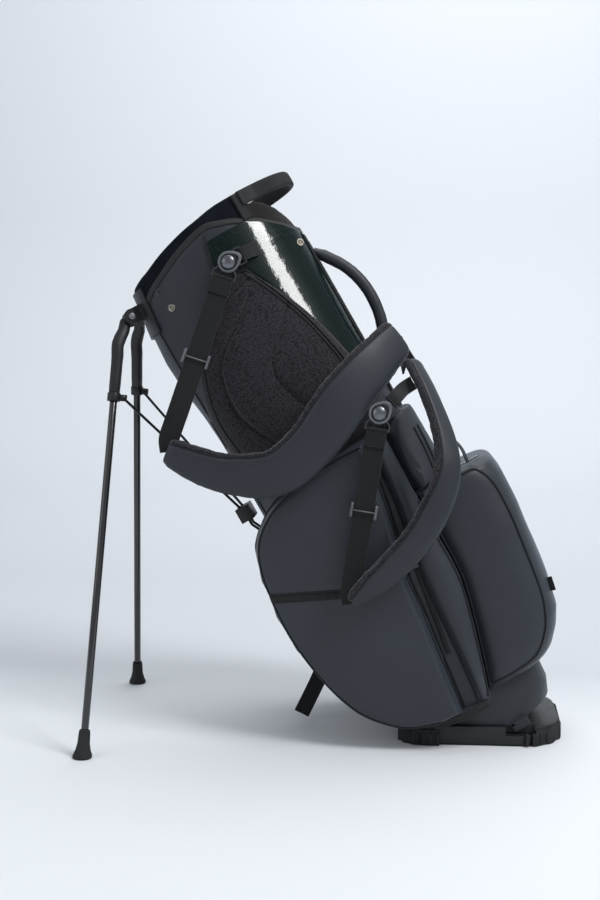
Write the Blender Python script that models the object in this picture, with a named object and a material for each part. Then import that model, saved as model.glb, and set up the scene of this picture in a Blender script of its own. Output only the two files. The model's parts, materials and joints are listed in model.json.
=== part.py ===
"""A golf stand bag, leaning on its two open legs and its hinged foot plate.

Metres, +Z up. The world origin is under the middle of the foot plate, on the floor. +X points
from the legs to the spine of the bag and +Y from the near side to the far side.
The bag's own frame leans back by LEAN from the foot plate's hinge: u runs from the legs to the
spine, v is world Y, and w runs up the bag's axis. SIDES are -1 for near and +1 for far.
"""

import math

import bmesh
import bpy
from mathutils import Matrix, Vector

# ---- driving dimensions -------------------------------------------------------------------

LEAN = math.radians(30)
HINGE = Vector((0.052, 0, 0.030))  # the foot plate's hinge axis in the world, along Y
HINGE_U = 0.048  # the same hinge in the bag's frame, at w = 0
GAP = 0.0003
SIDES = {"near": -1, "far": 1}

OVAL = 2.3  # superellipse exponent of the bag's cross-section
BASE_HALF = Vector((0.105, 0.098))
TOP_HALF = Vector((0.134, 0.116))
FLARE = (0.10, 0.45)  # the body widens between these heights
BULGE = 0.0135  # how much fuller the leg side is round BULGE_AT, fading out over BULGE_REACH
BULGE_AT = 0.740
BULGE_REACH = 0.150
SHELL_WALL = 0.003
SHELL_TOP = 0.800
CUP_TOP = 0.112
CUP_FLOOR = 0.097
# The base cup's reach to the spine, by height.
CUP_FRONT = [(-0.0002, 0.117), (0.020, 0.1255), (0.055, 0.128), (CUP_TOP, 0.121)]
AROUND = 44  # segments round the bag

KNUCKLE_RADIUS = 0.006
KNUCKLE_HALF = 0.080
PLATE_MIN = Vector((-0.119, -0.1085))
PLATE_MAX = Vector((0.125, 0.1085))
PLATE_BOTTOM = 0.0032
PLATE_TOP = HINGE.z - 0.0008
TREAD_OUT = 0.005
TREAD_TOP = 0.0245

PIVOT = Vector((-0.155, 0.052, 0.829))  # a leg's hinge, far side, in the bag's frame
LEG_TOP = Vector((-0.167, 0.064, 0.835))  # where the leg tube's axis starts
LEG_FOOT = Vector((-0.520, 0.212, 0.2937))  # where it meets the floor
LEG_RADIUS = 0.00575
COLLAR_AT = 0.1225  # along the leg's axis
ROD_RADIUS = 0.0022
ROD_EAR = 0.0155
YOKE = Vector((-0.160, 0.014, 0.478))  # where the far rod arm ends, inside the yoke
PUSH_ROD_U = -0.146
POCKET_CHANNEL = 0.088  # the pockets leave this half width free for the folded legs
OVER_CUP = 0.1062  # how far out a side pocket's back lies where it covers the base cup

WEB_THICK = 0.002
# Each strap: its connector, where its webbing's straight run ends, and the adjuster's place along it.
CONNECTORS = {"upper": Vector((0.027, -0.1345, 0.819)), "lower": Vector((0.112, -0.1820, 0.518))}
WEB_ENDS = {"upper": Vector((-0.140, -0.1715, 0.668)), "lower": Vector((-0.050, -0.1885, 0.317))}
WEB_WIDTHS = {"upper": 0.031, "lower": 0.030}
ADJUSTER_AT = {"upper": 0.62, "lower": 0.51}
TAB_TOWARDS = {"upper": Vector((1, 0, -0.02)), "lower": Vector((0.966, 0, 0.259))}
STIRRUP = 0.0245  # from a connector's middle to the bar that its webbing loops round
TAB_STIRRUP = 0.0235  # and to the bar of its tab
STIRRUP_BAR = 0.0014

# ---- scene and materials ------------------------------------------------------------------

MATERIALS = {
    "leatherette": ((0.034, 0.039, 0.047), 0.55, 0.0),
    "air_mesh": ((0.022, 0.020, 0.022), 0.90, 0.0),
    "webbing": ((0.019, 0.020, 0.021), 0.85, 0.0),
    "lining": ((0.020, 0.017, 0.016), 0.90, 0.0),
    "moulding": ((0.022, 0.024, 0.026), 0.45, 0.0),
    "carbon_film": ((0.010, 0.022, 0.022), 0.12, 0.0),
    "leg_paint": ((0.012, 0.013, 0.014), 0.25, 0.6),
    "rod_steel": ((0.020, 0.020, 0.022), 0.35, 0.8),
    "grey_metal": ((0.180, 0.185, 0.195), 0.30, 0.9),
    "silver_metal": ((0.480, 0.470, 0.450), 0.25, 1.0),
    "rubber": ((0.016, 0.017, 0.018), 0.75, 0.0),
}


def clear_scene():
    for obj in list(bpy.data.objects):
        bpy.data.objects.remove(obj)


def material(name):
    found = bpy.data.materials.get(name)
    if found:
        return found
    colour, roughness, metallic = MATERIALS[name]
    made = bpy.data.materials.new(name)
    made.use_nodes = True
    shader = made.node_tree.nodes["Principled BSDF"]
    shader.inputs["Base Color"].default_value = (*colour, 1)
    shader.inputs["Roughness"].default_value = roughness
    shader.inputs["Metallic"].default_value = metallic
    return made


def empty(name, parent, location, turn=None):
    made = bpy.data.objects.new(name, None)
    bpy.context.scene.collection.objects.link(made)
    made.parent = parent
    made.location = location
    if turn:
        made.rotation_euler = turn
    return made


# ---- mesh helpers -------------------------------------------------------------------------


def solid(name, points, faces, look, parent, origin=Vector()):
    """One closed mesh object. The points are in the bag's frame, and origin is its parent's place there."""
    mesh = bpy.data.meshes.new(name)
    mesh.from_pydata([tuple(Vector(point) - origin) for point in points], [], faces)
    work = bmesh.new()
    work.from_mesh(mesh)
    bmesh.ops.recalc_face_normals(work, faces=work.faces)
    work.to_mesh(mesh)
    work.free()
    mesh.materials.append(material(look))
    made = bpy.data.objects.new(name, mesh)
    bpy.context.scene.collection.objects.link(made)
    made.parent = parent
    return made


def loft(name, rings, look, parent, origin=Vector(), closed=False):
    """A solid through rings of equal length, capped at both ends or joined last to first."""
    count = len(rings[0])
    points = [point for ring in rings for point in ring]
    faces = []
    for row in range(len(rings) if closed else len(rings) - 1):
        low = row * count
        high = (row + 1) % len(rings) * count
        for i in range(count):
            j = (i + 1) % count
            faces.append((low + i, low + j, high + j, high + i))
    if not closed:
        faces.append(tuple(range(count)))
        faces.append(tuple(range(len(points) - count, len(points))))
    return solid(name, points, faces, look, parent, origin)


def slab(name, outer, inner, look, parent, origin=Vector()):
    """A solid between two grids of points of the same rows and columns."""
    rows, columns = len(outer), len(outer[0])
    points = [point for grid in (outer, inner) for row in grid for point in row]
    back = rows * columns
    faces = []
    for r in range(rows - 1):
        for c in range(columns - 1):
            a = r * columns + c
            faces.append((a, a + 1, a + columns + 1, a + columns))
            faces.append((back + a, back + a + columns, back + a + columns + 1, back + a + 1))
    rim = [(0, c) for c in range(columns)]
    rim += [(r, columns - 1) for r in range(1, rows)]
    rim += [(rows - 1, c) for c in range(columns - 2, -1, -1)]
    rim += [(r, 0) for r in range(rows - 2, 0, -1)]
    edge = [r * columns + c for r, c in rim]
    for i, a in enumerate(edge):
        b = edge[(i + 1) % len(edge)]
        faces.append((a, b, back + b, back + a))
    return solid(name, points, faces, look, parent, origin)


def combine(target, unions=(), cuts=()):
    """Applies the Booleans to the target's mesh and removes the helper solids."""
    steps = [(helper, "UNION") for helper in unions] + [(helper, "DIFFERENCE") for helper in cuts]
    for helper, operation in steps:
        step = target.modifiers.new(operation.lower(), "BOOLEAN")
        step.object = helper
        step.operation = operation
    bpy.context.view_layer.update()
    graph = bpy.context.evaluated_depsgraph_get()
    result = bpy.data.meshes.new_from_object(target.evaluated_get(graph))
    target.modifiers.clear()
    target.data = result
    for helper, _ in steps:
        bpy.data.objects.remove(helper)
    return target


def across(axis, hint):
    """Two unit vectors square to the axis, the first one nearest to the hint."""
    first = (hint - axis * hint.dot(axis)).normalized()
    return first, axis.cross(first)


def circle(centre, axis, radius, count, hint=Vector((0, 1, 0))):
    first, second = across(axis.normalized(), hint)
    turns = [2 * math.pi * i / count for i in range(count)]
    return [centre + radius * (math.cos(t) * first + math.sin(t) * second) for t in turns]


def turned(name, centre, axis, profile, look, parent, origin=Vector(), count=16, hint=Vector((0, 1, 0))):
    """A solid of revolution. The profile is (distance along the axis, radius) pairs."""
    rings = [circle(centre + axis * along, axis, radius, count, hint) for along, radius in profile]
    return loft(name, rings, look, parent, origin)


def rod(name, start, end, radius, look, parent, origin=Vector(), count=12):
    axis = (end - start).normalized()
    hint = Vector((1, 0, 0)) if abs(axis.y) > 0.9 else Vector((0, 1, 0))
    profile = [(0, radius), ((end - start).length, radius)]
    return turned(name, start, axis, profile, look, parent, origin, count, hint)


def block(name, centre, axes, half, look, parent, origin=Vector()):
    """A box with its own axes and half sizes."""
    offsets = [(-1, -1), (1, -1), (1, 1), (-1, 1)]
    rings = []
    for end in (-1, 1):
        middle = centre + axes[2] * half[2] * end
        rings.append([middle + axes[0] * half[0] * a + axes[1] * half[1] * b for a, b in offsets])
    return loft(name, rings, look, parent, origin)


def span(name, low, high, look, parent):
    """A box between two corners, along the frame's own axes."""
    low, high = Vector(low), Vector(high)
    axes = (Vector((1, 0, 0)), Vector((0, 1, 0)), Vector((0, 0, 1)))
    return block(name, (low + high) / 2, axes, (high - low) / 2, look, parent)


def smooth(points, count):
    """Evenly counted points on a Catmull-Rom curve through the given ones."""
    points = [Vector(point) for point in points]
    ends = [2 * points[0] - points[1], *points, 2 * points[-1] - points[-2]]
    found = []
    for i in range(count):
        place = i / (count - 1) * (len(points) - 1)
        k = min(int(place), len(points) - 2)
        t = place - k
        a, b, c, d = ends[k : k + 4]
        bend = (2 * a - 5 * b + 4 * c - d) * t * t + (3 * b - a - 3 * c + d) * t**3
        found.append((2 * b + (c - a) * t + bend) / 2)
    return found


def sweep(name, path, faces_to, half_sizes, look, parent, origin=Vector(), sides=10, power=3.0):
    """A soft bar along a path: at each point a superellipse of (half width, half thickness)."""
    rings = []
    for i, point in enumerate(path):
        ahead = path[min(i + 1, len(path) - 1)]
        behind = path[max(i - 1, 0)]
        tangent = (ahead - behind).normalized()
        out, wide = across(tangent, faces_to[i])
        width, thick = half_sizes[i]
        ring = []
        for k in range(sides):
            x, y = superellipse(width, thick, 2 * math.pi * (k + 0.5) / sides, power)
            ring.append(point + wide * x + out * y)
        rings.append(ring)
    return loft(name, rings, look, parent, origin)


def wire(name, points, radius, look, parent, origin=Vector()):
    """A round wire as a curve with a bevel and filled caps."""
    curve = bpy.data.curves.new(name, "CURVE")
    curve.dimensions = "3D"
    curve.bevel_depth = radius
    curve.bevel_resolution = 2
    curve.use_fill_caps = True
    spline = curve.splines.new("POLY")
    spline.points.add(len(points) - 1)
    for place, point in zip(spline.points, points):
        place.co = (*(Vector(point) - origin), 1)
    curve.materials.append(material(look))
    made = bpy.data.objects.new(name, curve)
    bpy.context.scene.collection.objects.link(made)
    made.parent = parent
    return made


# ---- the bag's own surface ----------------------------------------------------------------


def superellipse(half_u, half_v, angle, power=OVAL):
    c, s = math.cos(angle), math.sin(angle)
    u = half_u * math.copysign(abs(c) ** (2 / power), c)
    return u, half_v * math.copysign(abs(s) ** (2 / power), s)


def body_half(w, leg_side=False):
    t = min(max((w - FLARE[0]) / (FLARE[1] - FLARE[0]), 0), 1)
    half = BASE_HALF.lerp(TOP_HALF, t * t * (3 - 2 * t))
    away = abs(w - BULGE_AT) / BULGE_REACH
    if leg_side and away < 1:
        half.x += BULGE * math.cos(away * math.pi / 2) ** 2
    return half


def skin(angle, w, offset=0.0):
    """A point on the body, pushed out by the offset. Angle 0 is the spine, and near is negative."""
    half = body_half(w, math.cos(angle) < 0)
    u, v = superellipse(half.x + offset, half.y + offset, angle)
    return Vector((u, v, w))


def angle_at(u, w, side):
    ratio = max(-1, min(1, u / body_half(w, u < 0).x))
    return side * math.acos(math.copysign(abs(ratio) ** (OVAL / 2), ratio))


def skin_v(u, w):
    """Half depth of the body at u, or 0 beyond its side."""
    half = body_half(w, u < 0)
    inside = 1 - abs(u / half.x) ** OVAL
    return half.y * inside ** (1 / OVAL) if inside > 0 else 0.0


def skin_ring(w, offset):
    return [skin(2 * math.pi * i / AROUND, w, offset) for i in range(AROUND)]


def cup_skin(angle, w, offset=0.0):
    """A point on the base cup's outside, which is fuller towards the spine."""
    rise = w / CUP_TOP
    reach = between(CUP_FRONT, w) if math.cos(angle) > 0 else 0.108 + 0.0035 * rise
    u, v = superellipse(reach + offset, 0.101 + 0.0035 * rise + offset, angle)
    return Vector((u, v, w))


def over_body(angle, w):
    """Where a sewn-on pocket's back lies: just off the cup, and off the body above it."""
    return cup_skin(angle, min(w, CUP_TOP), 0.0008) if w < CUP_TOP + 0.001 else skin(angle, w, 0.0026)


def between(table, x):
    """Linear interpolation in (x, value) pairs sorted by x."""
    for (x0, y0), (x1, y1) in zip(table, table[1:]):
        if x <= x1:
            return y0 + (y1 - y0) * max(0, (x - x0) / (x1 - x0))
    return table[-1][1]


def spread(first, last, count):
    return [first + (last - first) * i / (count - 1) for i in range(count)]


# ---- body, collar and inside --------------------------------------------------------------


def tube_shell(bag):
    heights = [CUP_FLOOR + GAP, 0.16, 0.23, 0.31, 0.38, 0.45, 0.59, 0.64, 0.69, 0.74, SHELL_TOP]
    rings = [skin_ring(w, 0) for w in heights]
    rings += [skin_ring(w, -SHELL_WALL) for w in reversed(heights)]
    loft("tube_shell", rings, "leatherette", bag, closed=True)


def collar_top(angle):
    """Rim height: low at the spine, a step up to the lift handle's ends, and a slope down to the legs."""
    rim = [(0, 0.818), (13, 0.837), (22, 0.861), (38, 0.880), (49, 0.884), (54, 0.906)]
    rim += [(75, 0.904), (90, 0.897), (116, 0.882), (130, 0.873), (155, 0.866), (180, 0.866)]
    return between(rim, abs(math.degrees(math.remainder(angle, 2 * math.pi))))


def top_collar(bag):
    angles = [2 * math.pi * i / 60 for i in range(60)]
    base = SHELL_TOP + GAP
    rings = []
    for offset, top in ((0, False), (0, True), (-0.005, True), (-0.005, False)):
        ring = []
        for angle in angles:
            ring.append(skin(angle, collar_top(angle) if top else base, offset))
        rings.append(ring)
    loft("top_collar", rings, "moulding", bag, closed=True)


def lift_handle(bag):
    """A ribbed band from one raised shoulder of the collar round the spine side to the other."""
    reach = math.radians(55)
    root, apex = 0.0046, 0.0245
    rings = []
    for i in range(47):
        angle = -reach + 2 * reach * i / 46
        rise = math.cos(angle / reach * math.pi / 2) ** 1.5
        middle = skin(angle, SHELL_TOP, root + (apex - root) * rise)
        middle.z = 0.8945
        outward = Vector((middle.x, middle.y, 0)).normalized()
        thick = 0.0040 if i % 2 and 6 < i < 40 else 0.0033
        shape = [(-thick, -0.0095), (-thick, 0.0095), (-0.5 * thick, 0.0115), (0.5 * thick, 0.0115)]
        shape += [(thick, 0.0095), (thick, -0.0095), (0.5 * thick, -0.0115), (-0.5 * thick, -0.0115)]
        rings.append([middle + outward * a + Vector((0, 0, b)) for a, b in shape])
    loft("lift_handle", rings, "moulding", bag)


def top_divider(bag):
    """Padded cross bar at the mouth, with one sheet below it along u and one to each side."""
    inner = body_half(SHELL_TOP) - Vector((0.0056, 0.0056))
    bar, low, high = 0.007, 0.806, 0.819
    quarter = [(bar, bar), (bar, inner.y - 0.001), (-bar, inner.y - 0.001), (-bar, bar)]
    outline = quarter + [(-inner.x + 0.001, bar), (-inner.x + 0.001, -bar)]
    outline += [(-a, -b) for a, b in quarter] + [(inner.x - 0.001, -bar), (inner.x - 0.001, bar)]
    rings = [[Vector((a, b, w)) for a, b in outline] for w in (low, high)]
    loft("top_divider", rings, "air_mesh", bag)
    sheet_top, sheet_low, half = low - GAP, CUP_FLOOR + 2 * GAP, 0.0007
    wide = body_half(sheet_low) - Vector((0.0045, 0.0045))
    deep = body_half(SHELL_TOP) - Vector((0.008, 0.008))
    rings = []
    for w, reach in ((sheet_low, wide.x), (0.40, wide.x + 0.012), (sheet_top, deep.x)):
        rings.append([Vector((a * reach, b * half, w)) for a, b in ((-1, -1), (1, -1), (1, 1), (-1, 1))])
    loft("divider_sheet_long", rings, "lining", bag)
    for side, sign in SIDES.items():
        rings = []
        for w, reach in ((sheet_low, wide.y), (0.40, wide.y + 0.008), (sheet_top, deep.y)):
            edges = ((-half, half + GAP), (half, half + GAP), (half, reach), (-half, reach))
            rings.append([Vector((a, b * sign, w)) for a, b in edges])
        loft(f"divider_sheet_{side}", rings, "lining", bag)


def stays(bag):
    """Stiff rods inside the body that hold the collar off the base cup."""
    for name, degrees in (("near", -60), ("far", 60)):
        angle = math.radians(degrees)
        low = skin(angle, CUP_FLOOR + 2 * GAP, -0.008)
        high = skin(angle, SHELL_TOP - 0.001, -0.008)
        rod(f"stay_{name}", low, high, 0.003, "rod_steel", bag, count=8)


# ---- base cup and foot plate --------------------------------------------------------------


def base_cup(bag):
    """The moulded bottom: one facet square to the axis, one that lies flat on the foot plate."""
    angles = [2 * math.pi * i / AROUND for i in range(AROUND)]
    rings = [[cup_skin(angle, w) for angle in angles] for w, _ in CUP_FRONT]
    for w in (CUP_TOP, CUP_FLOOR):
        rings.append([Vector((*superellipse(0.1085, 0.1015, angle), w)) for angle in angles])
    cup = loft("base_cup", rings, "moulding", bag)
    axis = Vector((0, 1, 0))
    low_face = Vector((-math.sin(LEAN), 0, -math.cos(LEAN)))
    along = Vector((-math.cos(LEAN), 0, math.sin(LEAN)))
    hinge = Vector((HINGE_U, 0, 0))
    below = hinge + along * 0.15 + low_face * 0.1
    wedge = block("wedge", below, (along, axis, low_face), (0.15, 0.2, 0.1), "moulding", bag)
    half = axis * KNUCKLE_HALF
    knuckle = rod("knuckle", hinge - half, hinge + half, KNUCKLE_RADIUS, "moulding", bag)
    unions, cuts = [knuckle], [rod("bore", hinge - axis * 0.12, hinge + axis * 0.12, 0.0024, "moulding", bag)]
    for side in SIDES.values():
        middle = side * 0.093
        ear = span("ear", (0.046, middle - 0.005, -0.011), (0.072, middle + 0.005, 0.004), "moulding", bag)
        unions.append(ear)
        centre = hinge + axis * side * 0.084
        half = axis * 0.0033
        cuts.append(rod("relief", centre - half, centre + half, 0.0088, "moulding", bag, count=16))
    combine(cup, cuts=[wedge])
    combine(cup, unions=unions, cuts=cuts)


def rounded_outline(low, high, left_radius, right_radius, steps):
    """Points round a rectangle, anticlockwise, with one radius at each end."""
    corners = [
        (high.x - right_radius, high.y - right_radius, right_radius, 0),
        (low.x + left_radius, high.y - left_radius, left_radius, 90),
        (low.x + left_radius, low.y + left_radius, left_radius, 180),
        (high.x - right_radius, low.y + right_radius, right_radius, 270),
    ]
    outline = []
    for x, y, radius, start in corners:
        for i in range(steps + 1):
            turn = math.radians(start + 90 * i / steps)
            outline.append(Vector((x + radius * math.cos(turn), y + radius * math.sin(turn))))
    return outline


def prism(name, outline, low, high, look, parent):
    rings = [[Vector((point.x, point.y, z)) for point in outline] for z in (low, high)]
    return loft(name, rings, look, parent)


def foot_plate(plate):
    """The plate that lies on the floor, in world axes. Its parent empty is on the hinge axis."""
    outline = rounded_outline(PLATE_MIN, PLATE_MAX, 0.034, 0.070, 8)
    body = prism("foot_plate", outline, PLATE_BOTTOM, PLATE_TOP, "moulding", None)
    axis = Vector((0, 1, 0))
    grow = Vector((0.022, 0.0305))
    pocket = rounded_outline(PLATE_MIN + grow, PLATE_MAX - grow, 0.02, 0.03, 3)
    groove_half = axis * (KNUCKLE_HALF + 0.0007)
    cuts = [
        rod("groove", HINGE - groove_half, HINGE + groove_half, 0.0069, "moulding", None),
        prism("pocket", pocket, -0.01, 0.0205, "moulding", None),
    ]
    unions = []
    for side in SIDES.values():
        centre = HINGE + axis * side * 0.084
        half = axis * 0.0025
        unions.append(rod("lug", centre - half, centre + half, 0.0075, "moulding", None, count=16))
        low = Vector((0.040, min(side * 0.0868, side * 0.12), 0.016))
        high = Vector((0.084, max(side * 0.0868, side * 0.12), 0.05))
        cuts.append(span("notch", low, high, "moulding", None))
    cuts.append(rod("bore", HINGE - axis * 0.12, HINGE + axis * 0.12, 0.00225, "moulding", None))
    combine(body, unions=unions, cuts=cuts)
    hang(body, plate)
    half = axis * 0.0865
    pin = rod("base_hinge_rod", HINGE - half, HINGE + half, 0.0019, "rod_steel", None, count=10)
    hang(pin, plate)


def foot_sole(plate):
    """A thin rubber sole with a ribbed tread turned up round each end of the plate."""
    grow = Vector((TREAD_OUT, TREAD_OUT))
    smooth_line = rounded_outline(PLATE_MIN - grow, PLATE_MAX + grow, 0.039, 0.075, 14)
    middle = (PLATE_MIN + PLATE_MAX) / 2
    outline = []
    for i, point in enumerate(smooth_line):
        ridge = (point - middle).normalized() * 0.0024
        outline.append(point - ridge if i // 2 % 2 else point)
    body = prism("foot_sole", outline, 0, TREAD_TOP, "rubber", None)
    gap = Vector((GAP, GAP))
    inside = rounded_outline(PLATE_MIN - gap, PLATE_MAX + gap, 0.0343, 0.0703, 8)
    cuts = [
        prism("inside", inside, PLATE_BOTTOM - GAP, 0.05, "rubber", None),
        span("open_middle", (-0.060, -0.2, PLATE_BOTTOM - GAP), (0.086, 0.2, 0.05), "rubber", None),
        span("near_edge", (-0.060, -0.2, -0.01), (0.086, PLATE_MIN.y + 0.002, 0.05), "rubber", None),
        span("far_edge", (-0.060, PLATE_MAX.y - 0.002, -0.01), (0.086, 0.2, 0.05), "rubber", None),
    ]
    combine(body, cuts=cuts)
    hang(body, plate)


def hang(obj, parent):
    """Parents an object whose points are in world axes to an unturned empty."""
    obj.data.transform(Matrix.Translation(-parent.location))
    obj.parent = parent


# ---- stand legs, rods and their fittings --------------------------------------------------


class Leg:
    """One side's geometry: where the leg is now, its skewed hinge axis, and where it folds to."""

    def __init__(self, sign):
        flip = Vector((1, sign, 1))
        self.sign = sign
        self.pivot = PIVOT * flip
        self.top = LEG_TOP * flip
        self.foot = LEG_FOOT * flip
        self.open = (self.foot - self.top).normalized()
        folded = Vector((0, 0, -1))
        self.axis = self.open.cross(folded).normalized()
        self.fold = self.open.angle(folded)
        self.outward = Vector((self.open.x, self.open.y, 0)).normalized()
        inward = across(self.open, Vector((1, -0.35 * sign, 0)))[0]
        self.ear = self.at(COLLAR_AT) + inward * ROD_EAR
        self.inward = inward
        self.rod_end = YOKE * flip
        self.turn_back = Matrix.Rotation(self.fold, 3, self.axis)
        folded_ear = self.pivot + self.turn_back @ (self.ear - self.pivot)
        flat = Vector((folded_ear.x - YOKE.x, folded_ear.y - YOKE.y * sign))
        length = (self.rod_end - self.ear).length
        drop = math.sqrt(length**2 - flat.length_squared)
        self.travel = self.rod_end.z - (folded_ear.z - drop)
        folded_arm = Vector((self.rod_end.x, self.rod_end.y, folded_ear.z - drop)) - folded_ear
        self.arm = self.rod_end - self.ear
        seen_from_leg = self.turn_back.inverted() @ folded_arm
        self.arm_axis = self.arm.cross(seen_from_leg).normalized()
        self.arm_fold = self.arm.angle(seen_from_leg)

    def at(self, distance):
        return self.top + self.open * distance


def stand_bracket(bag, legs):
    """The moulding on the collar that carries both legs' hinge pins, in two splayed forks."""
    rows = spread(0.786, 0.858, 4)
    angles = spread(math.radians(142), math.radians(218), 11)
    outer = [[skin(angle, w, 0.0065) for angle in angles] for w in rows]
    inner = [[skin(angle, w, 0.0010) for angle in angles] for w in rows]
    bracket = slab("stand_bracket", outer, inner, "moulding", bag)
    unions, cuts = [], []
    up = Vector((0, 0, 1))
    for leg in legs:
        for cheek in (-1, 1):
            middle = leg.pivot + leg.axis * cheek * 0.0112
            arm = middle - leg.outward * 0.011
            axes = (leg.outward, leg.axis, up)
            unions.append(block("arm", arm, axes, (0.011, 0.0024, 0.0115), "moulding", bag))
            ends = middle - leg.axis * 0.0025, middle + leg.axis * 0.0025
            unions.append(rod("disc", *ends, 0.0123, "moulding", bag, count=18))
        half = leg.axis * 0.03
        cuts.append(rod("bore", leg.pivot - half, leg.pivot + half, 0.0033, "moulding", bag))
    combine(bracket, unions=unions, cuts=cuts)


def leg_pin(name, leg, bag):
    profile = [(-0.0163, 0.0040), (-0.0158, 0.0052), (-0.0141, 0.0052), (-0.0141, 0.0030)]
    profile += [(0.0141, 0.0030), (0.0141, 0.0052), (0.0158, 0.0052), (0.0163, 0.0040)]
    turned(name, leg.pivot, leg.axis, profile, "grey_metal", bag, hint=Vector((0, 0, 1)))


def leg_head(name, leg, parent):
    """Hinge knuckle and bent neck, moulded down to where the tube starts."""
    ends = leg.pivot - leg.axis * 0.0080, leg.pivot + leg.axis * 0.0080
    knuckle = rod(name, *ends, 0.0102, "moulding", parent, leg.pivot, count=18)
    path = smooth([leg.pivot, leg.at(0.036), leg.at(0.062), leg.at(COLLAR_AT - 0.007)], 12)
    path[1] = leg.pivot.lerp(leg.at(0.036), 0.25) + Vector((-0.003, 0, 0.003))
    sizes = [(0.0072, 0.0072)] + [(0.0074, 0.0092)] * 2 + [(0.0086, 0.0098)] * 2 + [(0.0090, 0.0093)] * 3
    sizes += [(0.0087, 0.0088)] * 3 + [(0.0084, 0.0084)]
    out = [leg.axis.cross(leg.open)] * len(path)
    neck = sweep("neck", path, out, sizes, "moulding", parent, leg.pivot, sides=12, power=2.4)
    half = leg.axis * 0.02
    bore = rod("bore", leg.pivot - half, leg.pivot + half, 0.0033, "moulding", parent, leg.pivot)
    combine(knuckle, unions=[neck], cuts=[bore])


def leg_tube(name, leg, parent):
    start, end = leg.at(COLLAR_AT - 0.0066), leg.at(0.640)
    rings = []
    for point, radius in ((start, LEG_RADIUS), (end, LEG_RADIUS), (end, 0.0047), (start, 0.0047)):
        rings.append(circle(point, leg.open, radius, 14))
    loft(name, rings, "leg_paint", parent, leg.pivot, closed=True)


def leg_foot(name, leg, parent):
    """A flared rubber boot round the tube's end, with its sole flat on the floor."""
    lean = Matrix.Rotation(-LEAN, 3, "Y")
    floor_up = lean.inverted() @ Vector((0, 0, 1))
    rings = []
    for along, radius in ((0.622, 0.0078), (0.627, 0.0088), (0.642, 0.0094), (0.652, 0.0116)):
        rings.append(circle(leg.at(along), leg.open, radius, 16))
    sole = circle(leg.at(0.664), leg.open, 0.0150, 16)
    origin = world_in_bag(Vector((0, 0, 0)))
    for lift, grow in ((0.003, 1.0), (0.0002, 0.93)):
        centre = leg.at(0.664)
        ring = [centre + (point - centre) * grow for point in sole]
        rings.append([point - floor_up * (floor_up.dot(point - origin) - lift) for point in ring])
    boot = loft(name, rings, "rubber", parent, leg.pivot)
    well = rod("well", leg.at(0.60), leg.at(0.6405), LEG_RADIUS + GAP, "rubber", parent, leg.pivot, count=14)
    combine(boot, cuts=[well])


def leg_collar(name, leg, parent):
    """The clamp on the tube, with an ear that the rod arm hooks through."""
    low, high = leg.at(COLLAR_AT - 0.0062), leg.at(COLLAR_AT + 0.0062)
    rings = []
    for point, radius in ((low, 0.0100), (high, 0.0100), (high, LEG_RADIUS + GAP), (low, LEG_RADIUS + GAP)):
        rings.append(circle(point, leg.open, radius, 14))
    clamp = loft(name, rings, "moulding", parent, leg.pivot, closed=True)
    lengthwise = across(leg.arm_axis, leg.inward)[0]
    middle = leg.at(COLLAR_AT) + leg.inward * 0.0134
    axes = (lengthwise, leg.arm_axis, lengthwise.cross(leg.arm_axis))
    ear = block("ear", middle, axes, (0.0062, 0.0026, 0.0050), "moulding", parent, leg.pivot)
    half = leg.arm_axis * 0.01
    hole = rod("hole", leg.ear - half, leg.ear + half, 0.0027, "moulding", parent, leg.pivot)
    combine(clamp, unions=[ear], cuts=[hole])


def rod_arm(name, leg, parent):
    """Steel wire hooked through the collar's ear. Its lower end stops inside the yoke."""
    down = leg.arm.normalized()
    outside = -leg.arm_axis * leg.sign
    hook = leg.ear + outside * 0.0062
    points = [leg.ear - outside * 0.0055, leg.ear + outside * 0.0040]
    points += [hook - outside * 0.0006 + down * 0.0007, hook + down * 0.0030]
    points += [hook + down * 0.03, leg.rod_end + outside * 0.001]
    wire(name, points, ROD_RADIUS, "rod_steel", parent, leg.ear)


def push_rod(slider, legs):
    """The yoke that both rod arms end in, and the bent wire below it that runs down to the base."""
    yoke = span("rod_yoke", (-0.171, -0.025, 0.4645), (-0.149, 0.025, 0.4885), "moulding", slider)
    cuts = []
    for leg in legs:
        start = leg.rod_end + Vector((-0.0022, -0.0010 * leg.sign, -0.0095))
        cuts.append(rod("socket", start, start + Vector((0, 0, 0.03)), 0.0070, "moulding", slider))
    combine(yoke, cuts=cuts)
    side_v, top, bottom = 0.0125, 0.4640, 0.128
    prong = [(-0.160, top), (-0.160, 0.456), (-0.150, 0.436), (PUSH_ROD_U, 0.424)]
    prong += [(PUSH_ROD_U, bottom + side_v)]
    near = [Vector((u, -side_v, w)) for u, w in prong]
    bend = []
    for i in range(1, 8):
        turn = math.pi * i / 8
        bend.append(Vector((PUSH_ROD_U, -side_v * math.cos(turn), bottom + side_v - side_v * math.sin(turn))))
    far = [Vector((u, side_v, w)) for u, w in reversed(prong)]
    wire("push_rod", near + bend + far, ROD_RADIUS, "rod_steel", slider)


def rod_guides(bag):
    """Two moulded blocks on the leg side, with a slot that the push rod's wires slide in."""
    for name, low in (("rod_guide_upper", 0.352), ("rod_guide_lower", 0.166)):
        high = low + 0.013
        inner_u = -body_half(high).x - 0.0020
        guide = span(name, (-0.1525, -0.024, low), (inner_u, 0.024, high), "moulding", bag)
        cuts = []
        for side in SIDES.values():
            middle = side * 0.0125
            corners = ((-0.1495, middle - 0.0032, low - 0.01), (-0.1425, middle + 0.0032, high + 0.01))
            slot = span("slot", *corners, "moulding", bag)
            cuts.append(slot)
        combine(guide, cuts=cuts)


# ---- soft body panels and pockets ---------------------------------------------------------


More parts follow.
